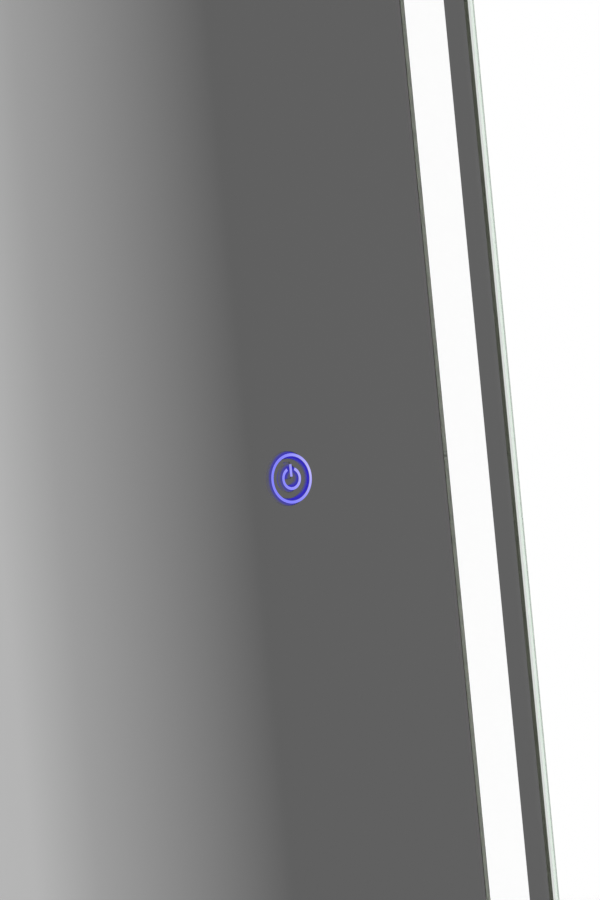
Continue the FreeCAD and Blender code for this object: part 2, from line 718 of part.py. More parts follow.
back_panel = node("back_panel", new_body("back_panel"))
panel_outline = Drawing(back_panel, "Dim.wall_gap")
panel_outline.arch("Dim.frame_inset + Dim.panel_setback", "Dim.panel_corner")
for x, height in arch_screws + bottom_screws:
    panel_outline.circle(x, height, PANEL_SCREW_HOLE)
for x, height in fixing_places:
    panel_outline.circle(x, height, FIXING_HOLE)
for x, height in rivet_places:
    panel_outline.circle(x, height, RIVET_HOLE)
panel_outline.circle("Dim.earth_x", "Dim.earth_height", EARTH_HOLE)
panel_outline.circle("Dim.grommet_x", "Dim.grommet_height", "Dim.grommet_neck + Dim.screw_clearance")
pad(back_panel, panel_outline, "Dim.panel_thickness")

panel_screw = turned_screw(number("Dim.panel_screw_radius"), number("Dim.panel_screw_length"),
                           number("Dim.panel_screw_head"), number("Dim.panel_screw_head_height"))
copies("panel_screws", panel_screw,
       [(point(x, "Dim.wall_gap", height), REARWARD) for x, height in arch_screws + bottom_screws])
fixing_screw = turned_screw(number("Dim.fixing_screw_radius"), number("Dim.fixing_screw_length"),
                            number("Dim.fixing_screw_head"), number("Dim.fixing_screw_head_height"))
copies("fixing_screws", fixing_screw,
       [(point(x, "Dim.wall_gap", height), REARWARD) for x, height in fixing_places])

# Light strip: a flexible board stuck round the inside of the frame, with its light chips facing inwards

STRIP_REAR = f"({PANEL_FRONT} + Dim.strip_offset)"
STRIP_INNER = f"({FRAME_INNER} + Dim.strip_thickness)"
led_strip = node("led_strip", new_body("led_strip"))
strip_outline = Drawing(led_strip, STRIP_REAR)
strip_outline.open_arch(FRAME_INNER, STRIP_INNER, "Dim.strip_end_height")
STRIP_FOOT = f"({HALF_WIDTH} - Dim.strip_end_height)"
strip_outline.rectangle(f"-{STRIP_FOOT}", STRIP_FOOT, FRAME_INNER, STRIP_INNER)
pad(led_strip, strip_outline, "Dim.strip_width")


def strip_chips():
    """One light chip each pitch along both runs of the strip."""
    pitch = number("Dim.chip_pitch")
    length = number("Dim.chip_length")
    width = number("Dim.chip_width")
    corner = FreeCAD.Vector(-length / 2, -width / 2, number("Dim.solder_height"))
    chip = Part.makeBox(length, width, number("Dim.chip_height"), corner)
    face = number(f"{HALF_WIDTH} - {STRIP_INNER}")
    low = number("Dim.strip_end_height")
    side = number(SPRING) - low
    arch = math.pi * face
    middle = number(f"-({STRIP_REAR} + Dim.strip_width / 2)")
    ground = number(SCREW_LINE)
    spots = []
    for step in range(int((2 * side + arch) / pitch)):
        run = (step + 0.5) * pitch
        if run < side:
            spots.append((face, low + run, 180))
        elif run < side + arch:
            angle = (run - side) / face
            spots.append((face * math.cos(angle), number(SPRING) + face * math.sin(angle),
                          180 + math.degrees(angle)))
        else:
            spots.append((-face, number(SPRING) - (run - side - arch), 0))
    foot = number(STRIP_FOOT)
    for step in range(int(2 * foot / pitch)):
        spots.append(((step + 0.5) * pitch - foot, number(STRIP_INNER), 90))
    placed = []
    for x, height, facing in spots:
        inward = FreeCAD.Vector(math.cos(math.radians(facing)), 0, math.sin(math.radians(facing)))
        along = REARWARD.cross(inward)
        turn = FreeCAD.Rotation(along, REARWARD, inward, "ZXY")
        copy = chip.copy()
        copy.Placement = FreeCAD.Placement(FreeCAD.Vector(x, middle, height - ground), turn)
        placed.append(copy)
    return Part.makeCompound(placed)


node("led_chips", shaped("led_chips", strip_chips()))

# Light driver: a plastic case with posts and ears, a board with its transformer and capacitors, and a lid

driver_tray = new_body("driver_tray")
DRIVER_FLOOR = f"({PANEL_FRONT} + Dim.driver_wall)"
DRIVER_RIM = f"({PANEL_FRONT} + Dim.driver_depth - Dim.driver_wall)"
INNER_LEFT = f"({DRIVER_LEFT} + Dim.driver_wall)"
INNER_RIGHT = f"({DRIVER_RIGHT} - Dim.driver_wall)"
INNER_LOW = f"({DRIVER_LOW} + Dim.driver_wall)"
INNER_HIGH = f"({DRIVER_HIGH} - Dim.driver_wall)"
tray_floor = Drawing(driver_tray, PANEL_FRONT)
tray_floor.rectangle(DRIVER_LEFT, DRIVER_RIGHT, DRIVER_LOW, DRIVER_HIGH)
pad(driver_tray, tray_floor, "Dim.driver_wall")
tray_walls = Drawing(driver_tray, DRIVER_FLOOR)
tray_walls.rectangle(DRIVER_LEFT, DRIVER_RIGHT, DRIVER_LOW, DRIVER_HIGH)
tray_walls.rectangle(INNER_LEFT, INNER_RIGHT, INNER_LOW, INNER_HIGH)
pad(driver_tray, tray_walls, "Dim.driver_depth - 2 * Dim.driver_wall")
tray_ears = Drawing(driver_tray, PANEL_FRONT)
tray_ears.rectangle(f"{DRIVER_LEFT} - Dim.driver_ear", DRIVER_LEFT, DRIVER_LOW, DRIVER_HIGH)
tray_ears.rectangle(DRIVER_RIGHT, f"{DRIVER_RIGHT} + Dim.driver_ear", DRIVER_LOW, DRIVER_HIGH)
for x, height in fixing_places[:2]:
    tray_ears.circle(x, height, FIXING_HOLE)
pad(driver_tray, tray_ears, "Dim.driver_ear_thickness")
tray_posts = Drawing(driver_tray, DRIVER_FLOOR)
POST_IN = "(Dim.driver_post_radius + Dim.board_margin)"
for x in (f"{INNER_LEFT} + {POST_IN}", f"{INNER_RIGHT} - {POST_IN}"):
    for height in (f"{INNER_LOW} + {POST_IN}", f"{INNER_HIGH} - {POST_IN}"):
        tray_posts.circle(x, height, "Dim.driver_post_radius")
pad(driver_tray, tray_posts, "Dim.driver_post_height")

BOARD_REAR = f"({DRIVER_FLOOR} + Dim.driver_post_height)"
BOARD_FRONT = f"({BOARD_REAR} + Dim.board_thickness)"
driver_board = node("driver_board", new_body("driver_board"))
board_outline = Drawing(driver_board, BOARD_REAR)
board_outline.rectangle(f"{INNER_LEFT} + Dim.board_margin", f"{INNER_RIGHT} - Dim.board_margin",
                        f"{INNER_LOW} + Dim.board_margin", f"{INNER_HIGH} - Dim.board_margin")
pad(driver_board, board_outline, "Dim.board_thickness")

driver_transformer = node("driver_transformer", new_body("driver_transformer"))
TRANSFORMER_X = f"({DRIVER_LEFT} + Dim.transformer_x + Dim.transformer_length)"
core = Drawing(driver_transformer, BOARD_FRONT)
core.rectangle(f"{TRANSFORMER_X} - Dim.transformer_length / 2",
               f"{TRANSFORMER_X} + Dim.transformer_length / 2",
               "Dim.driver_height - Dim.winding_width / 2",
               "Dim.driver_height + Dim.winding_width / 2")
pad(driver_transformer, core, "Dim.transformer_depth")
winding = Drawing(driver_transformer, BOARD_FRONT)
winding.rectangle(f"{TRANSFORMER_X} - Dim.winding_width / 2", f"{TRANSFORMER_X} + Dim.winding_width / 2",
                  "Dim.driver_height - Dim.transformer_width / 2",
                  "Dim.driver_height + Dim.transformer_width / 2")
pad(driver_transformer, winding, "Dim.winding_depth")

driver_capacitors = node("driver_capacitors", new_body("driver_capacitors"))
cans = Drawing(driver_capacitors, BOARD_FRONT)
for side in (-1, 1):
    cans.circle(f"{DRIVER_RIGHT} - Dim.capacitor_x",
                f"Dim.driver_height + ({side}) * Dim.capacitor_spacing / 2", "Dim.capacitor_radius")
pad(driver_capacitors, cans, "Dim.capacitor_depth")

driver_lid = node("driver_lid", new_body("driver_lid"))
lid_plate = Drawing(driver_lid, DRIVER_RIM)
lid_plate.rectangle(DRIVER_LEFT, DRIVER_RIGHT, DRIVER_LOW, DRIVER_HIGH)
pad(driver_lid, lid_plate, "Dim.driver_wall")
lid_lip = Drawing(driver_lid, f"{DRIVER_RIM} - Dim.driver_lip")
for step in ("Dim.driver_lip_clearance", "Dim.driver_lip_clearance + Dim.driver_wall"):
    lid_lip.rectangle(f"{INNER_LEFT} + {step}", f"{INNER_RIGHT} - ({step})",
                      f"{INNER_LOW} + {step}", f"{INNER_HIGH} - ({step})")
pad(driver_lid, lid_lip, "Dim.driver_lip")

# Terminal block: three poles, with a clamp screw at each end of every pole

terminal_body = new_body("terminal_body")
terminal_outline = Drawing(terminal_body, PANEL_FRONT)
TERMINAL_LEFT = "(Dim.terminal_x - Dim.terminal_length / 2)"
TERMINAL_RIGHT = "(Dim.terminal_x + Dim.terminal_length / 2)"
terminal_outline.rectangle(TERMINAL_LEFT, TERMINAL_RIGHT, "Dim.terminal_height - Dim.terminal_width / 2",
                           "Dim.terminal_height + Dim.terminal_width / 2")
pad(terminal_body, terminal_outline, "Dim.terminal_depth")
POLE_FORWARD = f"({PANEL_FRONT} + Dim.pole_forward)"
TERMINAL_FRONT = f"({PANEL_FRONT} + Dim.terminal_depth)"
CLAMP_FRONT = f"({TERMINAL_FRONT} - Dim.terminal_screw_sunk)"
MAINS_HOLE = "Dim.mains_lead_radius + Dim.lead_clearance"
pole_heights = [f"(Dim.terminal_height + ({step}) * Dim.pole_pitch)" for step in (1, 0, -1)]
terminal_holes = [rod("terminal_fixing", fixing_places[2][0], PANEL_FRONT, fixing_places[2][1], FORWARD,
                      FIXING_HOLE, "Dim.fixing_screw_length - Dim.panel_thickness + Dim.screw_clearance")]
clamp_screws = []
for height in pole_heights:
    terminal_holes.append(rod("pole", TERMINAL_LEFT, POLE_FORWARD, height, RIGHT, MAINS_HOLE,
                              "Dim.terminal_length"))
    for side in (-1, 1):
        clamp_x = f"Dim.terminal_x + ({side}) * Dim.terminal_screw_place"
        terminal_holes.append(rod("clamp_hole", clamp_x, POLE_FORWARD, height, FORWARD,
                                  "Dim.terminal_screw_radius + Dim.screw_clearance",
                                  "Dim.terminal_depth - Dim.pole_forward"))
        clamp_screws.append(rod("clamp_screw", clamp_x, CLAMP_FRONT, height, REARWARD,
                                "Dim.terminal_screw_radius", "Dim.terminal_screw_length"))
node("terminal_block", cut("terminal_block", terminal_body, group("terminal_drills", terminal_holes)))
node("terminal_screws", group("terminal_screws", clamp_screws))

# Cable grommet: a rubber ring in the back panel, where a mains cable would come in

GROMMET_REAR = "(Dim.wall_gap - Dim.grommet_flange_thickness)"
GROMMET_LENGTH = "(Dim.panel_thickness + 2 * Dim.grommet_flange_thickness)"
grommet_at = ("Dim.grommet_x", GROMMET_REAR, "Dim.grommet_height", FORWARD)
grommet_front = ("Dim.grommet_x", PANEL_FRONT, "Dim.grommet_height", FORWARD)
grommet_ring = fuse("grommet_ring", [
    rod("grommet_neck", *grommet_at, "Dim.grommet_neck", GROMMET_LENGTH),
    rod("grommet_outside", *grommet_at, "Dim.grommet_flange", "Dim.grommet_flange_thickness"),
    rod("grommet_inside", *grommet_front, "Dim.grommet_flange", "Dim.grommet_flange_thickness")])
node("cable_grommet", cut("cable_grommet", grommet_ring,
                          rod("grommet_bore", *grommet_at, "Dim.grommet_bore", GROMMET_LENGTH)))

# Earth: a ring tag held against the panel by its own screw

earth_screw = turned_screw(number("Dim.earth_screw_radius"), number("Dim.earth_screw_length"),
                           number("Dim.earth_screw_head"), number("Dim.earth_screw_head_height"))
TAG_FRONT = f"({PANEL_FRONT} + Dim.tag_thickness)"
copies("earth_screw", earth_screw, [(point("Dim.earth_x", TAG_FRONT, "Dim.earth_height"), FORWARD)])
BARREL_START = "(Dim.earth_x + Dim.tag_barrel_start)"
BARREL_END = f"({BARREL_START} + Dim.tag_barrel_length)"
BARREL_FORWARD = f"({PANEL_FRONT} + Dim.tag_barrel_radius)"
tag_ring = rod("tag_ring", "Dim.earth_x", PANEL_FRONT, "Dim.earth_height", FORWARD,
               "Dim.tag_radius", "Dim.tag_thickness")
tag_barrel = rod("tag_barrel", BARREL_START, BARREL_FORWARD, "Dim.earth_height", RIGHT,
                 "Dim.tag_barrel_radius", "Dim.tag_barrel_length")
tag_hole = rod("tag_hole", "Dim.earth_x", PANEL_FRONT, "Dim.earth_height", FORWARD, EARTH_HOLE,
               "Dim.tag_thickness")
node("earth_tag", cut("earth_tag", fuse("tag_blank", [tag_ring, tag_barrel]), tag_hole))

# Touch sensor: a plastic cup stuck behind the icon, with a board on a ledge and lights on the board

SENSOR_FRONT = f"({PAINT_REAR} - Dim.gasket_thickness)"
SENSOR_REAR = f"({SENSOR_FRONT} - Dim.sensor_depth)"
SENSOR_LEDGE = f"({SENSOR_REAR} + Dim.sensor_floor + Dim.sensor_ledge)"
SENSOR_HALF = "(Dim.sensor_side / 2)"
CAVITY_HALF = f"({SENSOR_HALF} - Dim.sensor_wall)"


def sensor_square(drawing, half):
    drawing.rectangle(f"{ICON_X} - {half}", f"{ICON_X} + {half}",
                      f"{ICON_HEIGHT} - {half}", f"{ICON_HEIGHT} + {half}")


sensor_cup = new_body("sensor_cup")
cup_outline = Drawing(sensor_cup, SENSOR_REAR)
sensor_square(cup_outline, SENSOR_HALF)
pad(sensor_cup, cup_outline, "Dim.sensor_depth")
cavity = Drawing(sensor_cup, SENSOR_FRONT)
sensor_square(cavity, CAVITY_HALF)
pocket(sensor_cup, cavity, "Dim.sensor_depth - Dim.sensor_floor - Dim.sensor_ledge")
well = Drawing(sensor_cup, SENSOR_LEDGE)
sensor_square(well, f"({CAVITY_HALF} - Dim.sensor_ledge)")
pocket(sensor_cup, well, "Dim.sensor_ledge")
LEAD_FORWARD = f"({SENSOR_LEDGE} + Dim.sensor_board_thickness + Dim.lamp_lead_radius + Dim.lead_clearance)"
LAMP_HOLE = "Dim.lamp_lead_radius + Dim.lead_clearance"
sensor_holes = group("sensor_drills", [
    rod("feed_hole", ICON_X, LEAD_FORWARD, f"{ICON_HEIGHT} - {SENSOR_HALF}", UP, LAMP_HOLE,
        "Dim.sensor_wall"),
    rod("lamp_hole", f"{ICON_X} + {SENSOR_HALF}", LEAD_FORWARD, ICON_HEIGHT, LEFT, LAMP_HOLE,
        "Dim.sensor_wall")])
node("sensor_case", cut("sensor_case", sensor_cup, sensor_holes))

sensor_board = node("sensor_board", new_body("sensor_board"))
sensor_board_outline = Drawing(sensor_board, SENSOR_LEDGE)
sensor_square(sensor_board_outline, f"({CAVITY_HALF} - Dim.sensor_board_clearance)")
pad(sensor_board, sensor_board_outline, "Dim.sensor_board_thickness")

SENSOR_BOARD_FRONT = f"({SENSOR_LEDGE} + Dim.sensor_board_thickness)"
sensor_leds = node("sensor_leds", new_body("sensor_leds"))
sensor_led_outline = Drawing(sensor_leds, SENSOR_BOARD_FRONT)
for across, up in ((-1, 0), (1, 0), (0, -1), (0, 1)):
    led_x = f"({ICON_X} + ({across}) * Dim.sensor_led_place)"
    led_height = f"({ICON_HEIGHT} + ({up}) * Dim.sensor_led_place)"
    sensor_led_outline.rectangle(f"{led_x} - Dim.sensor_led_side / 2", f"{led_x} + Dim.sensor_led_side / 2",
                                 f"{led_height} - Dim.sensor_led_side / 2",
                                 f"{led_height} + Dim.sensor_led_side / 2")
pad(sensor_leds, sensor_led_outline, "Dim.sensor_led_height")

icon_diffuser = node("icon_diffuser", new_body("icon_diffuser"))
diffuser_skirt = Drawing(icon_diffuser, SENSOR_BOARD_FRONT)
diffuser_skirt.circle(ICON_X, ICON_HEIGHT, "Dim.diffuser_radius")
diffuser_skirt.circle(ICON_X, ICON_HEIGHT, "Dim.diffuser_radius - Dim.diffuser_wall")
DIFFUSER_FRONT = f"({PAINT_REAR} - Dim.diffuser_clearance)"
pad(icon_diffuser, diffuser_skirt, f"{DIFFUSER_FRONT} - {SENSOR_BOARD_FRONT}")
diffuser_face = Drawing(icon_diffuser, f"{DIFFUSER_FRONT} - Dim.diffuser_wall")
diffuser_face.circle(ICON_X, ICON_HEIGHT, "Dim.diffuser_radius")
pad(icon_diffuser, diffuser_face, "Dim.diffuser_wall")

touch_electrode = node("touch_electrode", new_body("touch_electrode"))
foil = Drawing(touch_electrode, f"{PAINT_REAR} - Dim.foil_thickness")
foil.circle(ICON_X, ICON_HEIGHT, "Dim.foil_outer")
foil.circle(ICON_X, ICON_HEIGHT, "Dim.foil_inner")
pad(touch_electrode, foil, "Dim.foil_thickness")

sensor_gasket = node("sensor_gasket", new_body("sensor_gasket"))
gasket_outline = Drawing(sensor_gasket, SENSOR_FRONT)
sensor_square(gasket_outline, SENSOR_HALF)
sensor_square(gasket_outline, CAVITY_HALF)
pad(sensor_gasket, gasket_outline, "Dim.gasket_thickness")

# Leads inside the case: mains and earth from the terminal block, and the two that feed sensor and strip

entry_heights = ["(Dim.driver_height + Dim.pole_pitch / 2)", "(Dim.driver_height - Dim.pole_pitch / 2)"]
mains_leads = []
mains_holes = []
for pole, entry in zip(pole_heights, entry_heights):
    straight = "2 * Dim.lead_entry"
    mains_leads.append(lead([
        point(f"{TERMINAL_RIGHT} - Dim.lead_entry", POLE_FORWARD, pole),
        point(f"{TERMINAL_RIGHT} + {straight}", POLE_FORWARD, pole),
        point(f"{DRIVER_LEFT} - {straight}", POLE_FORWARD, entry),
        point(f"{DRIVER_LEFT} + Dim.driver_wall", POLE_FORWARD, entry)], number("Dim.mains_lead_radius")))
    mains_holes.append(rod("mains_hole", DRIVER_LEFT, POLE_FORWARD, entry, RIGHT, MAINS_HOLE,
                           "Dim.driver_wall"))
node("mains_leads", shaped("mains_leads", Part.makeCompound(mains_leads)))

EARTH_TURN = f"({TERMINAL_RIGHT} + 3 * Dim.lead_entry)"
earth_lead = lead([
    point(f"{TERMINAL_RIGHT} - Dim.lead_entry", POLE_FORWARD, pole_heights[2]),
    point(EARTH_TURN, POLE_FORWARD, pole_heights[2]),
    point(EARTH_TURN, BARREL_FORWARD, "Dim.earth_height"),
    point(BARREL_END, BARREL_FORWARD, "Dim.earth_height")], number("Dim.mains_lead_radius"))
node("earth_lead", shaped("earth_lead", earth_lead))

CLIP_FORWARD = f"({PANEL_FRONT} + Dim.clip_depth / 2)"
FEED_LOW = "(Dim.driver_height + Dim.clip_length)"
FEED_ENTRY = f"({ICON_HEIGHT} - {SENSOR_HALF} - 2 * Dim.clip_length)"
FEED_HIGH = f"({FEED_ENTRY} - ({LEAD_FORWARD} - {CLIP_FORWARD}))"
CLIP_HEIGHT = f"(({FEED_LOW} + {FEED_HIGH}) / 2)"
feed_points = [
    point(f"{DRIVER_RIGHT} - Dim.driver_wall", POLE_FORWARD, "Dim.driver_height"),
    point(f"({DRIVER_RIGHT} + {ICON_X}) / 2", CLIP_FORWARD, "Dim.driver_height"),
    point(ICON_X, CLIP_FORWARD, FEED_LOW),
    point(ICON_X, CLIP_FORWARD, FEED_HIGH),
    point(ICON_X, LEAD_FORWARD, FEED_ENTRY),
    point(ICON_X, LEAD_FORWARD, f"{ICON_HEIGHT} - {SENSOR_HALF} + Dim.sensor_wall")]
node("driver_lead", shaped("driver_lead", lead(feed_points, number("Dim.lamp_lead_radius"))))

SOLDER_FORWARD = f"({STRIP_REAR} + Dim.strip_solder_edge)"
STRIP_FACE = f"({HALF_WIDTH} - {STRIP_INNER})"
SENSOR_EDGE = f"({ICON_X} + {SENSOR_HALF})"
lamp_run = f"({STRIP_FACE} - {SENSOR_EDGE})"
lamp_points = [
    point(f"{SENSOR_EDGE} - Dim.sensor_wall", LEAD_FORWARD, ICON_HEIGHT),
    point(f"{SENSOR_EDGE} + {lamp_run} / 3", LEAD_FORWARD, ICON_HEIGHT),
    point(f"{STRIP_FACE} - {lamp_run} / 3", SOLDER_FORWARD, ICON_HEIGHT),
    point(STRIP_FACE, SOLDER_FORWARD, ICON_HEIGHT)]
JUMPER_HEIGHT = "(Dim.strip_end_height + 2 * Dim.lamp_lead_radius)"
JUMPER_X = f"({STRIP_FOOT} - 2 * Dim.lamp_lead_radius)"
jumper_points = [
    point(STRIP_FACE, SOLDER_FORWARD, JUMPER_HEIGHT),
    point(JUMPER_X, SOLDER_FORWARD, JUMPER_HEIGHT),
    point(JUMPER_X, SOLDER_FORWARD, STRIP_INNER)]
strip_leads = [lead(points, number("Dim.lamp_lead_radius")) for points in (lamp_points, jumper_points)]
node("strip_leads", shaped("strip_leads", Part.makeCompound(strip_leads)))

feed_hole = rod("driver_feed_hole", DRIVER_RIGHT, POLE_FORWARD, "Dim.driver_height", LEFT, LAMP_HOLE,
                "Dim.driver_wall")
node("driver_case", cut("driver_case", driver_tray, group("driver_drills", mains_holes + [feed_hole])))

# Lead clip: a stick-on saddle that holds the driver's lead to the panel

clip_body = new_body("clip_body")
clip_outline = Drawing(clip_body, PANEL_FRONT)
clip_outline.rectangle(f"{ICON_X} - Dim.clip_width / 2", f"{ICON_X} + Dim.clip_width / 2",
                       f"{CLIP_HEIGHT} - Dim.clip_length / 2", f"{CLIP_HEIGHT} + Dim.clip_length / 2")
pad(clip_body, clip_outline, "Dim.clip_depth")
clip_bore = rod("clip_bore", ICON_X, CLIP_FORWARD, f"{CLIP_HEIGHT} - Dim.clip_length / 2", UP, LAMP_HOLE,
                "Dim.clip_length")
node("lead_clip", cut("lead_clip", clip_body, clip_bore))


# Rails: two interlocking hooks of folded metal, one on the wall and one riveted to the panel. Each is given
# as its strip and its upright leg, so that the slot beside the leg stays open

def rail(name, length, corners):
    """A section given as forward and height above the screw line, drawn out along X."""
    body = new_body(name)
    section = Drawing(body, f"-{length} / 2", plane="YZ_Plane", up="0")
    section.polygon(*[(f"-({forward})", height) for forward, height in corners])
    pad(body, section, length)
    return body


LIP_FRONT = "(Dim.hook_gap + Dim.rail_thickness)"
WALL_STEP = "(Dim.wall_rail_above - Dim.rail_thickness)"
wall_section = rail("wall_section", "Dim.wall_rail_length", [
    ("0", "-Dim.wall_rail_below"), ("Dim.rail_thickness", "-Dim.wall_rail_below"),
    ("Dim.rail_thickness", WALL_STEP), (LIP_FRONT, WALL_STEP),
    (LIP_FRONT, "Dim.wall_rail_above"), ("0", "Dim.wall_rail_above")])
wall_holes = [rod("wall_hole", f"({side}) * Dim.wall_hole_spacing / 2", "0", SCREW_LINE, FORWARD,
                  "Dim.wall_hole_radius", "Dim.rail_thickness") for side in (-1, 1)]
node("wall_rail", cut("wall_rail", wall_section, group("wall_drills", wall_holes)))
node("rail_lip", rail("rail_lip", "Dim.wall_rail_length", [
    ("Dim.hook_gap", "Dim.wall_rail_above"), (LIP_FRONT, "Dim.wall_rail_above"),
    (LIP_FRONT, RAIL_SEAT), ("Dim.hook_gap", RAIL_SEAT)]))

HOOK_FRONT = "(Dim.hook_gap - Dim.hook_clearance)"
HOOK_REAR = f"({HOOK_FRONT} - Dim.rail_thickness)"
HOOK_TIP = f"({RAIL_SEAT} - Dim.hook_depth)"
RAIL_WEB = f"({RAIL_SEAT} + Dim.rail_thickness)"
RAIL_TOP = f"({RAIL_WEB} + Dim.hanging_rail_height)"
RAIL_BACK = "(Dim.wall_gap - Dim.rail_thickness)"
hanging_section = rail("hanging_section", "Dim.hanging_rail_length", [
    (HOOK_REAR, RAIL_SEAT), ("Dim.wall_gap", RAIL_SEAT), ("Dim.wall_gap", RAIL_TOP),
    (RAIL_BACK, RAIL_TOP), (RAIL_BACK, RAIL_WEB), (HOOK_REAR, RAIL_WEB)])
rivet_holes = [rod("rivet_hole", x, RAIL_BACK, height, FORWARD, RIVET_HOLE, "Dim.rail_thickness")
               for x, height in rivet_places]
node("hanging_rail", cut("hanging_rail", hanging_section, group("rivet_drills", rivet_holes)))
node("rail_hook", rail("rail_hook", "Dim.hanging_rail_length", [
    (HOOK_REAR, HOOK_TIP), (HOOK_FRONT, HOOK_TIP), (HOOK_FRONT, RAIL_SEAT), (HOOK_REAR, RAIL_SEAT)]))


def blind_rivet():
    """A domed head on z = 0, a shank through rail and panel, and the bulb that it sets inside."""
    radius = number("Dim.rivet_radius")
    grip = number("Dim.rail_thickness + Dim.panel_thickness")
    head = number("Dim.rivet_head")
    head_height = number("Dim.rivet_head_height")
    dome_radius = (head ** 2 + head_height ** 2) / (2 * head_height)
    ball = Part.makeSphere(dome_radius, FreeCAD.Vector(0, 0, head_height - dome_radius))
    dome = ball.common(Part.makeCylinder(head, head_height))
    shank = Part.makeCylinder(radius, grip, FreeCAD.Vector(), DOWN)
    bulb = Part.makeCone(number("Dim.rivet_bulb"), radius, number("Dim.rivet_bulb_length"),
                         FreeCAD.Vector(0, 0, -grip), DOWN)
    return dome.fuse([shank, bulb]).removeSplitter()


copies("rail_rivets", blind_rivet(), [(point(x, RAIL_BACK, height), REARWARD) for x, height in rivet_places])

# Wall buffers: rubber discs that keep the lower edge parallel to the wall

wall_buffers = node("wall_buffers", new_body("wall_buffers"))
buffer_outline = Drawing(wall_buffers, "0")
for side in (-1, 1):
    buffer_outline.circle(f"({side}) * Dim.buffer_from_centre", "Dim.buffer_height", "Dim.buffer_radius")
buffer_pad = pad(wall_buffers, buffer_outline, "Dim.wall_gap")
wall_rims = [f"Edge{n}" for n, edge in enumerate(buffer_pad.Shape.Edges, 1)
             if abs(edge.BoundBox.YMin) < flat]
buffer_round = wall_buffers.newObject("PartDesign::Fillet", "buffer_round")
buffer_round.Base = (buffer_pad, wall_rims)
buffer_round.setExpression("Radius", "Dim.buffer_round")

# Check every object, then write one file for each piece

doc.recompute()
for item in doc.Objects:
    if "Invalid" in item.State or "Error" in item.State:
        raise RuntimeError(f"{item.Name} failed: {item.State}")
for label, piece in nodes.items():
    if piece.Shape.isNull() or not piece.Shape.isValid() or not piece.Shape.Solids:
        raise RuntimeError(f"{label} has no valid solid")
os.makedirs("parts", exist_ok=True)
for label, piece in nodes.items():
    piece.Shape.exportStep(f"parts/{label}.step")
    print(f"{label}: {len(piece.Shape.Solids)} solids, {piece.Shape.Volume:.1f} cubic mm")
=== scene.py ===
import bpy
import math
from mathutils import Matrix, Vector


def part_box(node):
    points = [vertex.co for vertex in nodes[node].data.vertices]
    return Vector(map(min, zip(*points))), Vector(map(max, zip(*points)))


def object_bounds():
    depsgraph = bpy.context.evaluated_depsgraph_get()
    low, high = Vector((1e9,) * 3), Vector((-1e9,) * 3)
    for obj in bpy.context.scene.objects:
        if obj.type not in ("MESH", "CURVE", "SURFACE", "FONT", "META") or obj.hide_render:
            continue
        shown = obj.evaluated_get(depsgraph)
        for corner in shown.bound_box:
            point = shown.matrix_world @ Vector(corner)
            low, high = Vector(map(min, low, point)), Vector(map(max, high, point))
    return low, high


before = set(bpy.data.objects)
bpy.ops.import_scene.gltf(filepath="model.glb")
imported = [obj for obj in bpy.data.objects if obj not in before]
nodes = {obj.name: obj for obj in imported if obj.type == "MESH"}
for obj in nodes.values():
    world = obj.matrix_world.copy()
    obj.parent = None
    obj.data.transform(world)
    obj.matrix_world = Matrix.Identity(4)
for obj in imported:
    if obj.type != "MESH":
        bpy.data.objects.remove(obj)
cad_box = [list(corner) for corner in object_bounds()]

# Wall rail
# A length of folded steel sheet, zinc plated, with an upright lip along its front. Two screws hold it
# to the wall, and the hook of the mirror's own rail drops in behind the lip.


def new_finish(name):
    """A material with one principled shader, which a finish is built on."""
    material = bpy.data.materials.new(name)
    material.use_nodes = True
    return material


def metres(material):
    """The part's own coordinates, in metres."""
    return material.node_tree.nodes.new("ShaderNodeTexCoord").outputs["Object"]


def grain(material, per_metre, stretch=(1.0, 1.0, 1.0), detail=4.0, place=None):
    """Noise laid out in the part's own metres; a small stretch draws it out along that axis."""
    tree = material.node_tree
    mapping = tree.nodes.new("ShaderNodeMapping")
    mapping.inputs["Scale"].default_value = [per_metre * share for share in stretch]
    noise = tree.nodes.new("ShaderNodeTexNoise")
    noise.inputs["Scale"].default_value = 1.0
    noise.inputs["Detail"].default_value = detail
    tree.links.new(place or metres(material), mapping.inputs["Vector"])
    tree.links.new(mapping.outputs["Vector"], noise.inputs["Vector"])
    return noise.outputs["Fac"]


def vary(material, socket, pattern, low, high, span=(0.35, 0.65)):
    """Let a pattern move one input of the shader between two numbers or two colours."""
    tree = material.node_tree
    target = tree.nodes["Principled BSDF"].inputs[socket]
    if isinstance(low, tuple):
        ramp = tree.nodes.new("ShaderNodeValToRGB")
        for stop, place, colour in zip(ramp.color_ramp.elements, span, (low, high)):
            stop.position = place
            stop.color = (*colour, 1.0)
        tree.links.new(pattern, ramp.inputs["Fac"])
        tree.links.new(ramp.outputs["Color"], target)
        return
    reach = tree.nodes.new("ShaderNodeMapRange")
    reach.inputs["From Min"].default_value = span[0]
    reach.inputs["From Max"].default_value = span[1]
    reach.inputs["To Min"].default_value = low
    reach.inputs["To Max"].default_value = high
    tree.links.new(pattern, reach.inputs["Value"])
    tree.links.new(reach.outputs["Result"], target)


def emboss(material, pattern, height, strength=0.6):
    """Raise the surface's normals by a pattern, to a height in metres."""
    tree = material.node_tree
    bump = tree.nodes.new("ShaderNodeBump")
    bump.inputs["Distance"].default_value = height
    bump.inputs["Strength"].default_value = strength
    tree.links.new(pattern, bump.inputs["Height"])
    tree.links.new(bump.outputs["Normal"], tree.nodes["Principled BSDF"].inputs["Normal"])


def put(material, **values):
    """Set inputs of the shader that are the same all over the surface."""
    for name, value in values.items():
        material.node_tree.nodes["Principled BSDF"].inputs[name.replace("_", " ")].default_value = value
    return material


def dress(material, *names):
    """Give CAD nodes their finish."""
    for name in names:
        nodes[name].data.materials.clear()
        nodes[name].data.materials.append(material)


ALONG_X = (0.03, 1.0, 1.0)

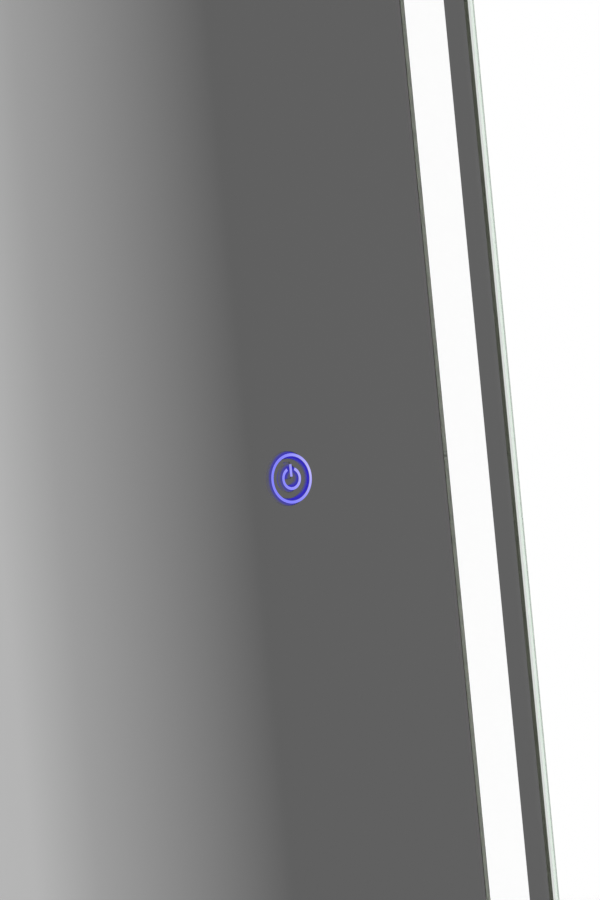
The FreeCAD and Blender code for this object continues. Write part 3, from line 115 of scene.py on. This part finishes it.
zinc_plate = put(new_finish("zinc_plate"), Metallic=1.0)
vary(zinc_plate, "Base Color", grain(zinc_plate, 90, detail=6), (0.68, 0.70, 0.74), (0.80, 0.81, 0.83))
vary(zinc_plate, "Roughness", grain(zinc_plate, 1400, ALONG_X), 0.22, 0.38)
emboss(zinc_plate, grain(zinc_plate, 1400, ALONG_X), 0.00002)
dress(zinc_plate, "wall_rail", "rail_lip")

# Back panel
# One flat sheet of galvanised steel, cut to the arch and pierced for its screws and fittings. The zinc
# has frozen in large flat crystals, each with fine feathers at an angle of its own.

FEATHERS = (0.12, 1.0, 1.0)
FEATHER_SHARE = 0.35


def combine(material, operation, *values):
    """One pattern worked out from others, or from a pattern and a number."""
    tree = material.node_tree
    sum_node = tree.nodes.new("ShaderNodeMath")
    sum_node.operation = operation
    for socket, value in zip(sum_node.inputs, values):
        if isinstance(value, float):
            socket.default_value = value
        else:
            tree.links.new(value, socket)
    return sum_node.outputs["Value"]


def crystals(material, per_metre):
    """A random number for each cell of a cracked sheet."""
    tree = material.node_tree
    cells = tree.nodes.new("ShaderNodeTexVoronoi")
    cells.inputs["Scale"].default_value = per_metre
    split = tree.nodes.new("ShaderNodeSeparateColor")
    tree.links.new(metres(material), cells.inputs["Vector"])
    tree.links.new(cells.outputs["Color"], split.inputs["Color"])
    return split.outputs["Red"]


def turned(material, cell):
    """The part's own metres, turned in the plane of the sheet by an angle of each crystal's own."""
    tree = material.node_tree
    turn = tree.nodes.new("ShaderNodeVectorRotate")
    turn.rotation_type = "Y_AXIS"
    tree.links.new(metres(material), turn.inputs["Vector"])
    tree.links.new(combine(material, "MULTIPLY", cell, math.tau), turn.inputs["Angle"])
    return turn.outputs["Vector"]


galvanised = put(new_finish("galvanised"), Metallic=1.0)
cell = crystals(galvanised, 62)
feathers = grain(galvanised, 900, FEATHERS, detail=6, place=turned(galvanised, cell))
spangle = combine(galvanised, "ADD", combine(galvanised, "MULTIPLY", cell, 1.0 - FEATHER_SHARE),
                  combine(galvanised, "MULTIPLY", feathers, FEATHER_SHARE))
vary(galvanised, "Base Color", spangle, (0.55, 0.57, 0.59), (0.70, 0.72, 0.74), span=(0.1, 0.9))
vary(galvanised, "Roughness", spangle, 0.34, 0.52, span=(0.1, 0.9))
emboss(galvanised, feathers, 0.00003)
dress(galvanised, "back_panel")

# Hanging rail and its rivets
# The mirror's half of the hook: the same folded, zinc-plated sheet, held to the panel by four blind
# rivets with domed aluminium heads.

dress(zinc_plate, "hanging_rail", "rail_hook")
rivet_metal = put(new_finish("rivet_metal"), Metallic=1.0)
vary(rivet_metal, "Base Color", grain(rivet_metal, 700), (0.70, 0.71, 0.72), (0.84, 0.84, 0.84))
vary(rivet_metal, "Roughness", grain(rivet_metal, 2600), 0.26, 0.42)
dress(rivet_metal, "rail_rivets")

# Wall buffers and cable grommet
# Moulded black rubber: two discs that keep the lower edge parallel to the wall, and the ring in the
# panel that the mains flex would come through.

black_rubber = put(new_finish("black_rubber"), Specular_IOR_Level=0.35)
vary(black_rubber, "Base Color", grain(black_rubber, 260, detail=8),
     (0.016, 0.016, 0.017), (0.040, 0.040, 0.041))
vary(black_rubber, "Roughness", grain(black_rubber, 900), 0.58, 0.82)
emboss(black_rubber, grain(black_rubber, 2600), 0.00004)
dress(black_rubber, "wall_buffers", "cable_grommet")

# Case frame
# Two lengths of satin anodised aluminium channel, one bent into the arch and one along the bottom. The
# drawing die leaves fine lines along them. Their inside is primed white, to spread the strip's light.

DIE_LINES = (0.04, 1.0, 0.04)

glass_low, glass_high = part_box("mirror_glass")
half_width = glass_high.x
spring_height = glass_high.z - half_width


def edge_depth(centre):
    """How far a point lies inside the outline of the arch."""
    if centre.z > spring_height:
        return half_width - math.hypot(centre.x, centre.z - spring_height)
    return min(half_width - abs(centre.x), centre.z - glass_low.z)


def faces_by(name, finishes, choose):
    """Give each face of a node one of several finishes; choose gets the face's centre and normal."""
    mesh = nodes[name].data
    mesh.materials.clear()
    for finish in finishes:
        mesh.materials.append(finish)
    for face in mesh.polygons:
        face.material_index = choose(face.center, face.normal)


satin_aluminium = put(new_finish("satin_aluminium"), Metallic=1.0)
vary(satin_aluminium, "Base Color", grain(satin_aluminium, 600, DIE_LINES),
     (0.735, 0.745, 0.755), (0.780, 0.790, 0.800))
vary(satin_aluminium, "Roughness", grain(satin_aluminium, 2400, DIE_LINES), 0.27, 0.43)
emboss(satin_aluminium, grain(satin_aluminium, 2400, DIE_LINES), 0.00002)
white_primer = put(new_finish("white_primer"), Specular_IOR_Level=0.3)
vary(white_primer, "Base Color", grain(white_primer, 150, detail=6), (0.78, 0.79, 0.75), (0.84, 0.85, 0.81))
vary(white_primer, "Roughness", grain(white_primer, 900), 0.60, 0.78)
emboss(white_primer, grain(white_primer, 1600), 0.00003)

frame_low, frame_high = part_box("arch_frame")
channel_wall = 0.0015
outer_depth = frame_low.x - glass_low.x


def channel_finish(centre, normal):
    """Primed inside the hollow of the channel, and bare aluminium outside."""
    inside_depth = edge_depth(centre) > outer_depth + channel_wall / 2
    inside_faces = frame_low.y + channel_wall / 2 < centre.y < frame_high.y - channel_wall / 2
    return int(inside_depth and inside_faces)


for channel in ("arch_frame", "bottom_frame"):
    faces_by(channel, [satin_aluminium, white_primer], channel_finish)

# Corner brackets and screws
# Bent steel angles in the lower corners of the frame, and the pan-head screws of the brackets, the
# panel and the fittings, all bright zinc plated.

bright_zinc = put(new_finish("bright_zinc"), Metallic=1.0)
vary(bright_zinc, "Base Color", grain(bright_zinc, 500, detail=6), (0.60, 0.64, 0.69), (0.78, 0.79, 0.80))
vary(bright_zinc, "Roughness", grain(bright_zinc, 3200), 0.22, 0.40)
dress(zinc_plate, "corner_brackets")
dress(bright_zinc, "bracket_screws", "panel_screws", "fixing_screws", "terminal_screws", "earth_screw")

# Light driver
# A white moulded case with a snap-in lid, and inside it a green board with a taped transformer and two
# sleeved capacitors. It is screwed to the panel by its ears.

white_moulding = new_finish("white_moulding")
vary(white_moulding, "Base Color", grain(white_moulding, 40), (0.78, 0.78, 0.75), (0.85, 0.85, 0.83))
vary(white_moulding, "Roughness", grain(white_moulding, 1800), 0.38, 0.52)
emboss(white_moulding, grain(white_moulding, 3500), 0.00003)
dress(white_moulding, "driver_case", "driver_lid")

solder_mask = put(new_finish("solder_mask"), Coat_Weight=0.4, Coat_Roughness=0.12)
copper_tracks = grain(solder_mask, 260, (0.12, 1.0, 1.0), detail=1.0)
vary(solder_mask, "Base Color", copper_tracks, (0.012, 0.110, 0.045), (0.040, 0.230, 0.100),
     span=(0.50, 0.54))
vary(solder_mask, "Roughness", grain(solder_mask, 900), 0.28, 0.45)
emboss(solder_mask, copper_tracks, 0.00004)
dress(solder_mask, "driver_board", "sensor_board")

ferrite = new_finish("ferrite")
vary(ferrite, "Base Color", grain(ferrite, 900), (0.020, 0.020, 0.021), (0.050, 0.049, 0.048))
vary(ferrite, "Roughness", grain(ferrite, 1500), 0.55, 0.75)
winding_tape = new_finish("winding_tape")
vary(winding_tape, "Base Color", grain(winding_tape, 500, (1.0, 1.0, 0.1)),
     (0.62, 0.40, 0.04), (0.78, 0.56, 0.09))
vary(winding_tape, "Roughness", grain(winding_tape, 1100), 0.22, 0.36)
core_low, core_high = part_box("driver_transformer")
core_middle = (core_low + core_high) / 2
core_half_height = 0.0071
faces_by("driver_transformer", [ferrite, winding_tape],
         lambda centre, normal: int(abs(centre.z - core_middle.z) > core_half_height))

shrink_sleeve = new_finish("shrink_sleeve")
vary(shrink_sleeve, "Base Color", grain(shrink_sleeve, 300), (0.010, 0.012, 0.030), (0.022, 0.026, 0.060))
vary(shrink_sleeve, "Roughness", grain(shrink_sleeve, 1300), 0.24, 0.38)
sleeved_front = 0.9
faces_by("driver_capacitors", [shrink_sleeve, rivet_metal],
         lambda centre, normal: int(normal.y < -sleeved_front))

# Terminal block and earth tag
# A block of milky nylon with three brass-lined poles, and the tinned copper ring tag that its earth
# pole is wired to.

milky_nylon = put(new_finish("milky_nylon"), Subsurface_Weight=0.25, Subsurface_Scale=0.002)
vary(milky_nylon, "Base Color", grain(milky_nylon, 70), (0.72, 0.72, 0.66), (0.82, 0.82, 0.77))
vary(milky_nylon, "Roughness", grain(milky_nylon, 1600), 0.32, 0.46)
dress(milky_nylon, "terminal_block", "lead_clip")

tinned_copper = put(new_finish("tinned_copper"), Metallic=1.0)
vary(tinned_copper, "Base Color", grain(tinned_copper, 600), (0.66, 0.50, 0.40), (0.82, 0.76, 0.70))
vary(tinned_copper, "Roughness", grain(tinned_copper, 2200), 0.24, 0.40)
dress(tinned_copper, "earth_tag")

# Light strip
# A white flexible board stuck round the inside of the frame. Each chip is a small white body with a
# window of yellow phosphor, which faces inwards and lights the case. The board itself is given a painted
# glow in its emission, almost as bright as the chips.

STRIP_GLOW = (0.95, 0.97, 0.95, 1.0)
CHIP_STRENGTH = 3.0
BOARD_PAINTED_GLOW_STRENGTH = 1.85

strip_film = put(new_finish("strip_film"), Coat_Weight=0.3, Coat_Roughness=0.15)
# Painted glow: the board's own emission.
put(strip_film, Emission_Color=STRIP_GLOW, Emission_Strength=BOARD_PAINTED_GLOW_STRENGTH)
vary(strip_film, "Base Color", grain(strip_film, 350), (0.76, 0.76, 0.73), (0.86, 0.86, 0.84))
vary(strip_film, "Roughness", grain(strip_film, 1200), 0.30, 0.46)
dress(strip_film, "led_strip")
phosphor = put(new_finish("phosphor"), Emission_Color=STRIP_GLOW, Emission_Strength=CHIP_STRENGTH)
vary(phosphor, "Base Color", grain(phosphor, 2200), (0.80, 0.62, 0.16), (0.92, 0.78, 0.30))
vary(phosphor, "Roughness", grain(phosphor, 3000), 0.25, 0.42)
dress(phosphor, "led_chips", "sensor_leds")

# Touch sensor
# A black cup stuck behind the icon with a foam gasket. Its opal cap stands over four blue-lit lamps and
# shows through the icon's lines, and a ring of copper foil round the cap feels the finger. Two soft rings
# of painted blue glow lie in the cap's emission a little right of the icon, with painted grey shade between.

# Painted glow and painted shade: the cap's emission is painted blue in two rings and dim grey between them.
CAP_PAINTED_SHADE = (0.104, 0.100, 0.112)
CAP_PAINTED_GLOW = (0.022, 0.011, 0.53)
PAINTED_HALO_RINGS = (
    {"radius": 0.00845, "core": 0.0009, "reach": 0.0024, "light": 1.0},
    {"radius": 0.0036, "core": 0.0006, "reach": 0.0022, "light": 0.95})
HALO_OFFSET = 0.0020
HALO_LEAST = 0.9
PAINTED_GLOW_OFFSET = Vector((0.0088, 0.0, 0.0020))
PAINTED_GLOW_REACH = 0.0138

icon_low, icon_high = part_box("touch_icon")
icon_middle = (icon_low + icon_high) / 2
cap_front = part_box("icon_diffuser")[0].y


def away_from(material, centre):
    """How far a point of the part lies from a centre, in metres."""
    tree = material.node_tree
    reach = tree.nodes.new("ShaderNodeVectorMath")
    reach.operation = "DISTANCE"
    reach.inputs[1].default_value = centre
    tree.links.new(metres(material), reach.inputs[0])
    return reach.outputs["Value"]


def spread(material, pattern, near, far, near_light, far_light):
    """Turn a distance into light, which changes from near_light to far_light between two distances."""
    tree = material.node_tree
    light = tree.nodes.new("ShaderNodeMapRange")
    for name, value in zip(("From Min", "From Max", "To Min", "To Max"), (near, far, near_light, far_light)):
        light.inputs[name].default_value = value
    tree.links.new(pattern, light.inputs["Value"])
    return light.outputs["Result"]


def painted_lamp_glow(material, least=0.0):
    """Painted glow in place of the lamps' light, which falls to the least away from a painted bright spot
    right of the icon's middle.
    """
    return spread(material, away_from(material, icon_middle + PAINTED_GLOW_OFFSET), 0.0, PAINTED_GLOW_REACH, 1.0, least)


def painted_halos(material):
    """Two soft rings of painted glow on the cap, in place of the light the lamps would throw."""
    centre = Vector((icon_middle.x + HALO_OFFSET, cap_front, icon_middle.z))
    from_centre = away_from(material, centre)
    rings = []
    for ring in PAINTED_HALO_RINGS:
        from_ring = combine(material, "ABSOLUTE", combine(material, "SUBTRACT", from_centre, ring["radius"]))
        rings.append(spread(material, from_ring, ring["core"], ring["reach"], ring["light"], 0.0))
    both = combine(material, "MAXIMUM", *rings)
    return combine(material, "MULTIPLY", both, painted_lamp_glow(material, HALO_LEAST))


black_moulding = new_finish("black_moulding")
vary(black_moulding, "Base Color", grain(black_moulding, 120), (0.018, 0.018, 0.020), (0.034, 0.034, 0.037))
vary(black_moulding, "Roughness", grain(black_moulding, 1700), 0.42, 0.58)
emboss(black_moulding, grain(black_moulding, 3200), 0.00003)
dress(black_moulding, "sensor_case")

foam = new_finish("foam")
vary(foam, "Base Color", grain(foam, 1500), (0.060, 0.060, 0.058), (0.120, 0.120, 0.116))
vary(foam, "Roughness", grain(foam, 900), 0.80, 0.95)
emboss(foam, grain(foam, 2200), 0.00012)
dress(foam, "sensor_gasket", "bonding_tape")

opal_cap = put(new_finish("opal_cap"), Emission_Strength=1.0, Specular_IOR_Level=0.1)
# The cap's emission colour carries the painted halos of glow and the painted grey shade.
vary(opal_cap, "Emission Color", painted_halos(opal_cap), CAP_PAINTED_SHADE, CAP_PAINTED_GLOW, span=(0.0, 1.0))
vary(opal_cap, "Base Color", grain(opal_cap, 400), (0.010, 0.008, 0.060), (0.016, 0.012, 0.090))
vary(opal_cap, "Roughness", grain(opal_cap, 1500), 0.45, 0.60)
dress(opal_cap, "icon_diffuser")

copper_foil = put(new_finish("copper_foil"), Metallic=1.0)
vary(copper_foil, "Base Color", grain(copper_foil, 220), (0.78, 0.42, 0.26), (0.90, 0.56, 0.38))
vary(copper_foil, "Roughness", grain(copper_foil, 2600, ALONG_X), 0.20, 0.36)
dress(copper_foil, "touch_electrode")

# Leads
# Soft PVC insulation over stranded wire: brown and blue from the terminal block to the driver, green and
# yellow to the earth tag, and grey twin leads from the driver to the sensor and the strip.


def insulation(name, dark, light):
    """Slightly glossy PVC with faint handling marks."""
    sleeve = new_finish(name)
    vary(sleeve, "Base Color", grain(sleeve, 200), dark, light)
    vary(sleeve, "Roughness", grain(sleeve, 1500), 0.30, 0.48)
    return sleeve


live_brown = insulation("live_brown", (0.085, 0.035, 0.015), (0.130, 0.058, 0.026))
neutral_blue = insulation("neutral_blue", (0.012, 0.060, 0.300), (0.022, 0.095, 0.420))
earth_green = insulation("earth_green", (0.020, 0.230, 0.045), (0.035, 0.320, 0.070))
lead_grey = insulation("lead_grey", (0.42, 0.42, 0.40), (0.52, 0.52, 0.50))
lead_low, lead_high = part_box("mains_leads")
lead_fall = 0.5 * (lead_high.z - lead_low.z)


def neutral_side(centre, normal):
    """The blue lead is the lower of the pair, and both fall by the same amount towards the driver."""
    along = (centre.x - lead_low.x) / (lead_high.x - lead_low.x)
    return int(centre.z < lead_high.z - lead_fall * (0.5 + along * 0.5))


faces_by("mains_leads", [live_brown, neutral_blue], neutral_side)
dress(earth_green, "earth_lead")
dress(lead_grey, "driver_lead", "strip_leads")

# Mirror glass
# A plate of 4 mm float glass. Its faces are clear and bright; its edge and the small arris along it are
# ground to a satin finish, tinted pale green and given a pale green painted glow in its emission.
# Sandblasting has cut the band and the icon a hair into its front, and the matt floor of that cut, seen only
# in the silver, has a flat grey painted glow that passes for the mirror's reflection.

GLASS_IOR = 1.52
GLASS_TINT = (0.965, 1.0, 0.97, 1.0)
FRONT_REFLECTION = (0.05, 0.05, 0.05, 1.0)
EDGE_TINT_DARK = (0.78, 0.92, 0.80)
EDGE_TINT_LIGHT = (0.86, 0.97, 0.88)
# Painted glow: the ground edge emits a pale green light of its own.
EDGE_PAINTED_GLOW = (0.78, 0.90, 0.79, 1.0)
EDGE_PAINTED_GLOW_STRENGTH = 0.18
# Painted reflection: a flat grey emission, so the etched floor seen in the silver matches the mirror's
# reflected grey.
ETCH_PAINTED_REFLECTION = (0.125, 0.125, 0.125, 1.0)

clear_glass = put(new_finish("clear_glass"), Transmission_Weight=1.0, IOR=GLASS_IOR)
put(clear_glass, Base_Color=GLASS_TINT, Specular_Tint=FRONT_REFLECTION)
vary(clear_glass, "Roughness", grain(clear_glass, 12), 0.0, 0.003)

ground_edge = put(new_finish("ground_edge"), Transmission_Weight=1.0, IOR=GLASS_IOR)
# The edge's emission is painted glow.
put(ground_edge, Emission_Color=EDGE_PAINTED_GLOW, Emission_Strength=EDGE_PAINTED_GLOW_STRENGTH)
vary(ground_edge, "Base Color", grain(ground_edge, 160), EDGE_TINT_DARK, EDGE_TINT_LIGHT)
vary(ground_edge, "Roughness", grain(ground_edge, 2600), 0.50, 0.66)

# The etched floor's emission is painted reflection.
etched_floor = put(new_finish("etched_floor"), Emission_Color=ETCH_PAINTED_REFLECTION, Emission_Strength=1.0)
put(etched_floor, Specular_IOR_Level=0.0)
vary(etched_floor, "Base Color", grain(etched_floor, 900), (0.008, 0.008, 0.008), (0.016, 0.016, 0.016))
vary(etched_floor, "Roughness", grain(etched_floor, 2400), 0.7, 0.9)

edge_strip = 0.003
faces_front = 0.9
skin = 0.0001
etch_front = glass_low.y + skin / 2
etch_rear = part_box("frosted_band")[1].y + skin


def glass_finish(centre, normal):
    """Ground at the rim, matt in the sandblasted cut, and clear elsewhere."""
    if abs(normal.y) < faces_front and edge_depth(centre) < edge_strip:
        return 1
    return 2 if etch_front < centre.y < etch_rear else 0


faces_by("mirror_glass", [clear_glass, ground_edge, etched_floor], glass_finish)

# Silver and backing paint
# The silver is deposited on the back of the glass and sealed by an olive-grey paint. Both are taken off
# along the band and at the icon, and the silver stops short of the edge, where the paint shows. Its warm
# tone makes up for the green of the glass, so that the mirror looks grey.

silver = put(new_finish("silver"), Metallic=1.0)
vary(silver, "Base Color", grain(silver, 3), (0.983, 0.915, 0.973), (0.998, 0.930, 0.988))
vary(silver, "Roughness", grain(silver, 5), 0.0, 0.004)
dress(silver, "silver_coat")
backing_paint = new_finish("backing_paint")
vary(backing_paint, "Base Color", grain(backing_paint, 30, detail=6),
     (0.118, 0.114, 0.090), (0.152, 0.148, 0.120))
vary(backing_paint, "Roughness", grain(backing_paint, 700), 0.50, 0.68)
emboss(backing_paint, grain(backing_paint, 500, detail=6), 0.00004)
dress(backing_paint, "paint_coat")

# Frosted band
# The front of the glass is sandblasted along the band to a fine white matt, given an even painted glow in
# its emission where the strip shines behind it. It is the skin of the glass, and lies level with the clear
# face round it.

BAND_PAINTED_GLOW = (0.985, 0.987, 0.985, 1.0)
BAND_PAINTED_GLOW_STRENGTH = 0.80

# Painted glow: the band emits light of its own.
sandblasted = put(new_finish("sandblasted"), Emission_Color=BAND_PAINTED_GLOW, Emission_Strength=BAND_PAINTED_GLOW_STRENGTH)
blast_marks = grain(sandblasted, 2400, detail=8)
vary(sandblasted, "Base Color", blast_marks, (0.21, 0.21, 0.21), (0.28, 0.28, 0.28))
vary(sandblasted, "Roughness", blast_marks, 0.60, 0.75)
emboss(sandblasted, blast_marks, 0.00002)
faces_by("frosted_band", [sandblasted, etched_floor],
         lambda centre, normal: int(normal.y > -faces_front))

# Touch icon
# A ring round a power symbol, etched as fine lines, with a blue painted glow in their emission that is
# painted brighter on the right-hand side.

# Painted glow: the lines' emission, painted dimmer on the left and brighter on the right.
ICON_PAINTED_DIM = (0.215, 0.210, 1.0)
ICON_PAINTED_BRIGHT = (0.520, 0.480, 1.0)
ICON_STRENGTH = 0.97
ICON_UNLIT = (0.03, 0.03, 0.08, 1.0)

lit_lines = put(new_finish("lit_lines"), Emission_Strength=ICON_STRENGTH, Base_Color=ICON_UNLIT)
vary(lit_lines, "Emission Color", painted_lamp_glow(lit_lines), ICON_PAINTED_DIM, ICON_PAINTED_BRIGHT, span=(0.0, 1.0))
vary(lit_lines, "Roughness", grain(lit_lines, 500, detail=6), 0.55, 0.70)
faces_by("touch_icon", [lit_lines, etched_floor],
         lambda centre, normal: int(normal.y > -faces_front))

# Floor
# A plain pale disc just under the mirror's lower edge, which fades out towards its rim.

FLOOR_GAP = 0.0005
FLOOR_FADE_START = 0.45
FLOOR_FADE_END = 0.85
FLOOR_CORNERS = 96

bpy.ops.mesh.primitive_circle_add(vertices=FLOOR_CORNERS, radius=FLOOR_FADE_END, fill_type="NGON")
floor = bpy.context.object
floor.name = "floor"
floor.location = (0.0, (cad_box[0][1] + cad_box[1][1]) / 2, cad_box[0][2] - FLOOR_GAP)
floor.visible_glossy = False
floor.visible_transmission = False
pale_floor = put(new_finish("pale_floor"), Roughness=0.8)
vary(pale_floor, "Base Color", grain(pale_floor, 6), (0.80, 0.80, 0.80), (0.83, 0.83, 0.83))
vary(pale_floor, "Alpha", away_from(pale_floor, (0.0, 0.0, 0.0)), 1.0, 0.0,
     span=(FLOOR_FADE_START, FLOOR_FADE_END))
floor.data.materials.append(pale_floor)

# Studio
# White all round for the eye. What the glass and metal reflect is a ring of soft panels, given by their
# bearing in degrees from straight ahead of the mirror towards its right, with a grey one ahead on the
# right that the mirror shows in the photographed view.

STUDIO_PANELS = [
    (-180.0, 0.95), (-100.0, 0.92), (-60.0, 0.85), (-48.0, 0.74), (-42.0, 0.56), (-20.0, 0.80),
    (-6.0, 0.78), (6.0, 0.52), (22.0, 0.61), (30.6, 0.496), (31.8, 0.363), (35.48, 0.127),
    (56.0, 0.127), (66.0, 0.62), (90.0, 0.66), (115.0, 0.72), (165.0, 0.72), (180.0, 0.95)]
SKY_START = 0.30
SKY_END = 0.75
SKY_LIGHT = 1.15

studio = bpy.data.worlds.new("studio")
studio.use_nodes = True
bpy.context.scene.world = studio
sky = studio.node_tree
sky.nodes.clear()
bearing_of = sky.nodes.new("ShaderNodeTexCoord")
split = sky.nodes.new("ShaderNodeSeparateXYZ")
sky.links.new(bearing_of.outputs["Generated"], split.inputs["Vector"])
ahead = sky.nodes.new("ShaderNodeMath")
ahead.operation = "MULTIPLY"
ahead.inputs[1].default_value = -1.0
sky.links.new(split.outputs["Y"], ahead.inputs[0])
bearing = sky.nodes.new("ShaderNodeMath")
bearing.operation = "ARCTAN2"
sky.links.new(split.outputs["X"], bearing.inputs[0])
sky.links.new(ahead.outputs["Value"], bearing.inputs[1])
panels = sky.nodes.new("ShaderNodeValue")
panels.outputs["Value"].default_value = STUDIO_PANELS[0][1]
for (start, start_light), (end, end_light) in zip(STUDIO_PANELS, STUDIO_PANELS[1:]):
    step = sky.nodes.new("ShaderNodeMapRange")
    step.inputs["From Min"].default_value = math.radians(start)
    step.inputs["From Max"].default_value = math.radians(end)
    step.inputs["To Min"].default_value = 0.0
    step.inputs["To Max"].default_value = end_light - start_light
    sky.links.new(bearing.outputs["Value"], step.inputs["Value"])
    total = sky.nodes.new("ShaderNodeMath")
    sky.links.new(panels.outputs["Value"], total.inputs[0])
    sky.links.new(step.outputs["Result"], total.inputs[1])
    panels = total
height = sky.nodes.new("ShaderNodeMapRange")
height.inputs["From Min"].default_value = SKY_START
height.inputs["From Max"].default_value = SKY_END
sky.links.new(split.outputs["Z"], height.inputs["Value"])
overhead = sky.nodes.new("ShaderNodeMix")
overhead.data_type = "RGBA"
overhead.inputs["B"].default_value = (SKY_LIGHT, SKY_LIGHT, SKY_LIGHT, 1.0)
sky.links.new(height.outputs["Result"], overhead.inputs["Factor"])
sky.links.new(panels.outputs["Value"], overhead.inputs["A"])
seen = sky.nodes.new("ShaderNodeLightPath")
ground = sky.nodes.new("ShaderNodeMix")
ground.data_type = "RGBA"
ground.inputs["B"].default_value = (1.0, 1.0, 1.0, 1.0)
sky.links.new(seen.outputs["Is Camera Ray"], ground.inputs["Factor"])
sky.links.new(overhead.outputs["Result"], ground.inputs["A"])
background = sky.nodes.new("ShaderNodeBackground")
sky.links.new(ground.outputs["Result"], background.inputs["Color"])
world_output = sky.nodes.new("ShaderNodeOutputWorld")
sky.links.new(background.outputs["Background"], world_output.inputs["Surface"])
bpy.context.scene.view_settings.view_transform = "Standard"

# Camera
# Close to the right-hand side, from the left of the mirror and a little above the switch, and tilted
# sideways as in the photograph. The lens is given for the long side of the 600 by 900 frame.

CAMERA_BEARING = math.radians(-36.442)
CAMERA_RISE = math.radians(2.109)
CAMERA_ROLL = math.radians(-5.607)
CAMERA_PLACE = Vector((-0.47277, -0.94657, -0.28856))
CAMERA_SENSOR = 36.0
CAMERA_LENS = 120.0
CAMERA_NEAREST = 0.01

camera_data = bpy.data.cameras.new("camera")
camera_data.sensor_width = CAMERA_SENSOR
camera_data.lens = CAMERA_LENS
camera_data.clip_start = CAMERA_NEAREST
camera = bpy.data.objects.new("camera", camera_data)
bpy.context.scene.collection.objects.link(camera)
camera.matrix_world = (Matrix.Translation(CAMERA_PLACE) @ Matrix.Rotation(CAMERA_BEARING, 4, "Z")
                       @ Matrix.Rotation(math.pi / 2 - CAMERA_RISE, 4, "X")
                       @ Matrix.Rotation(CAMERA_ROLL, 4, "Z"))
bpy.context.scene.camera = camera
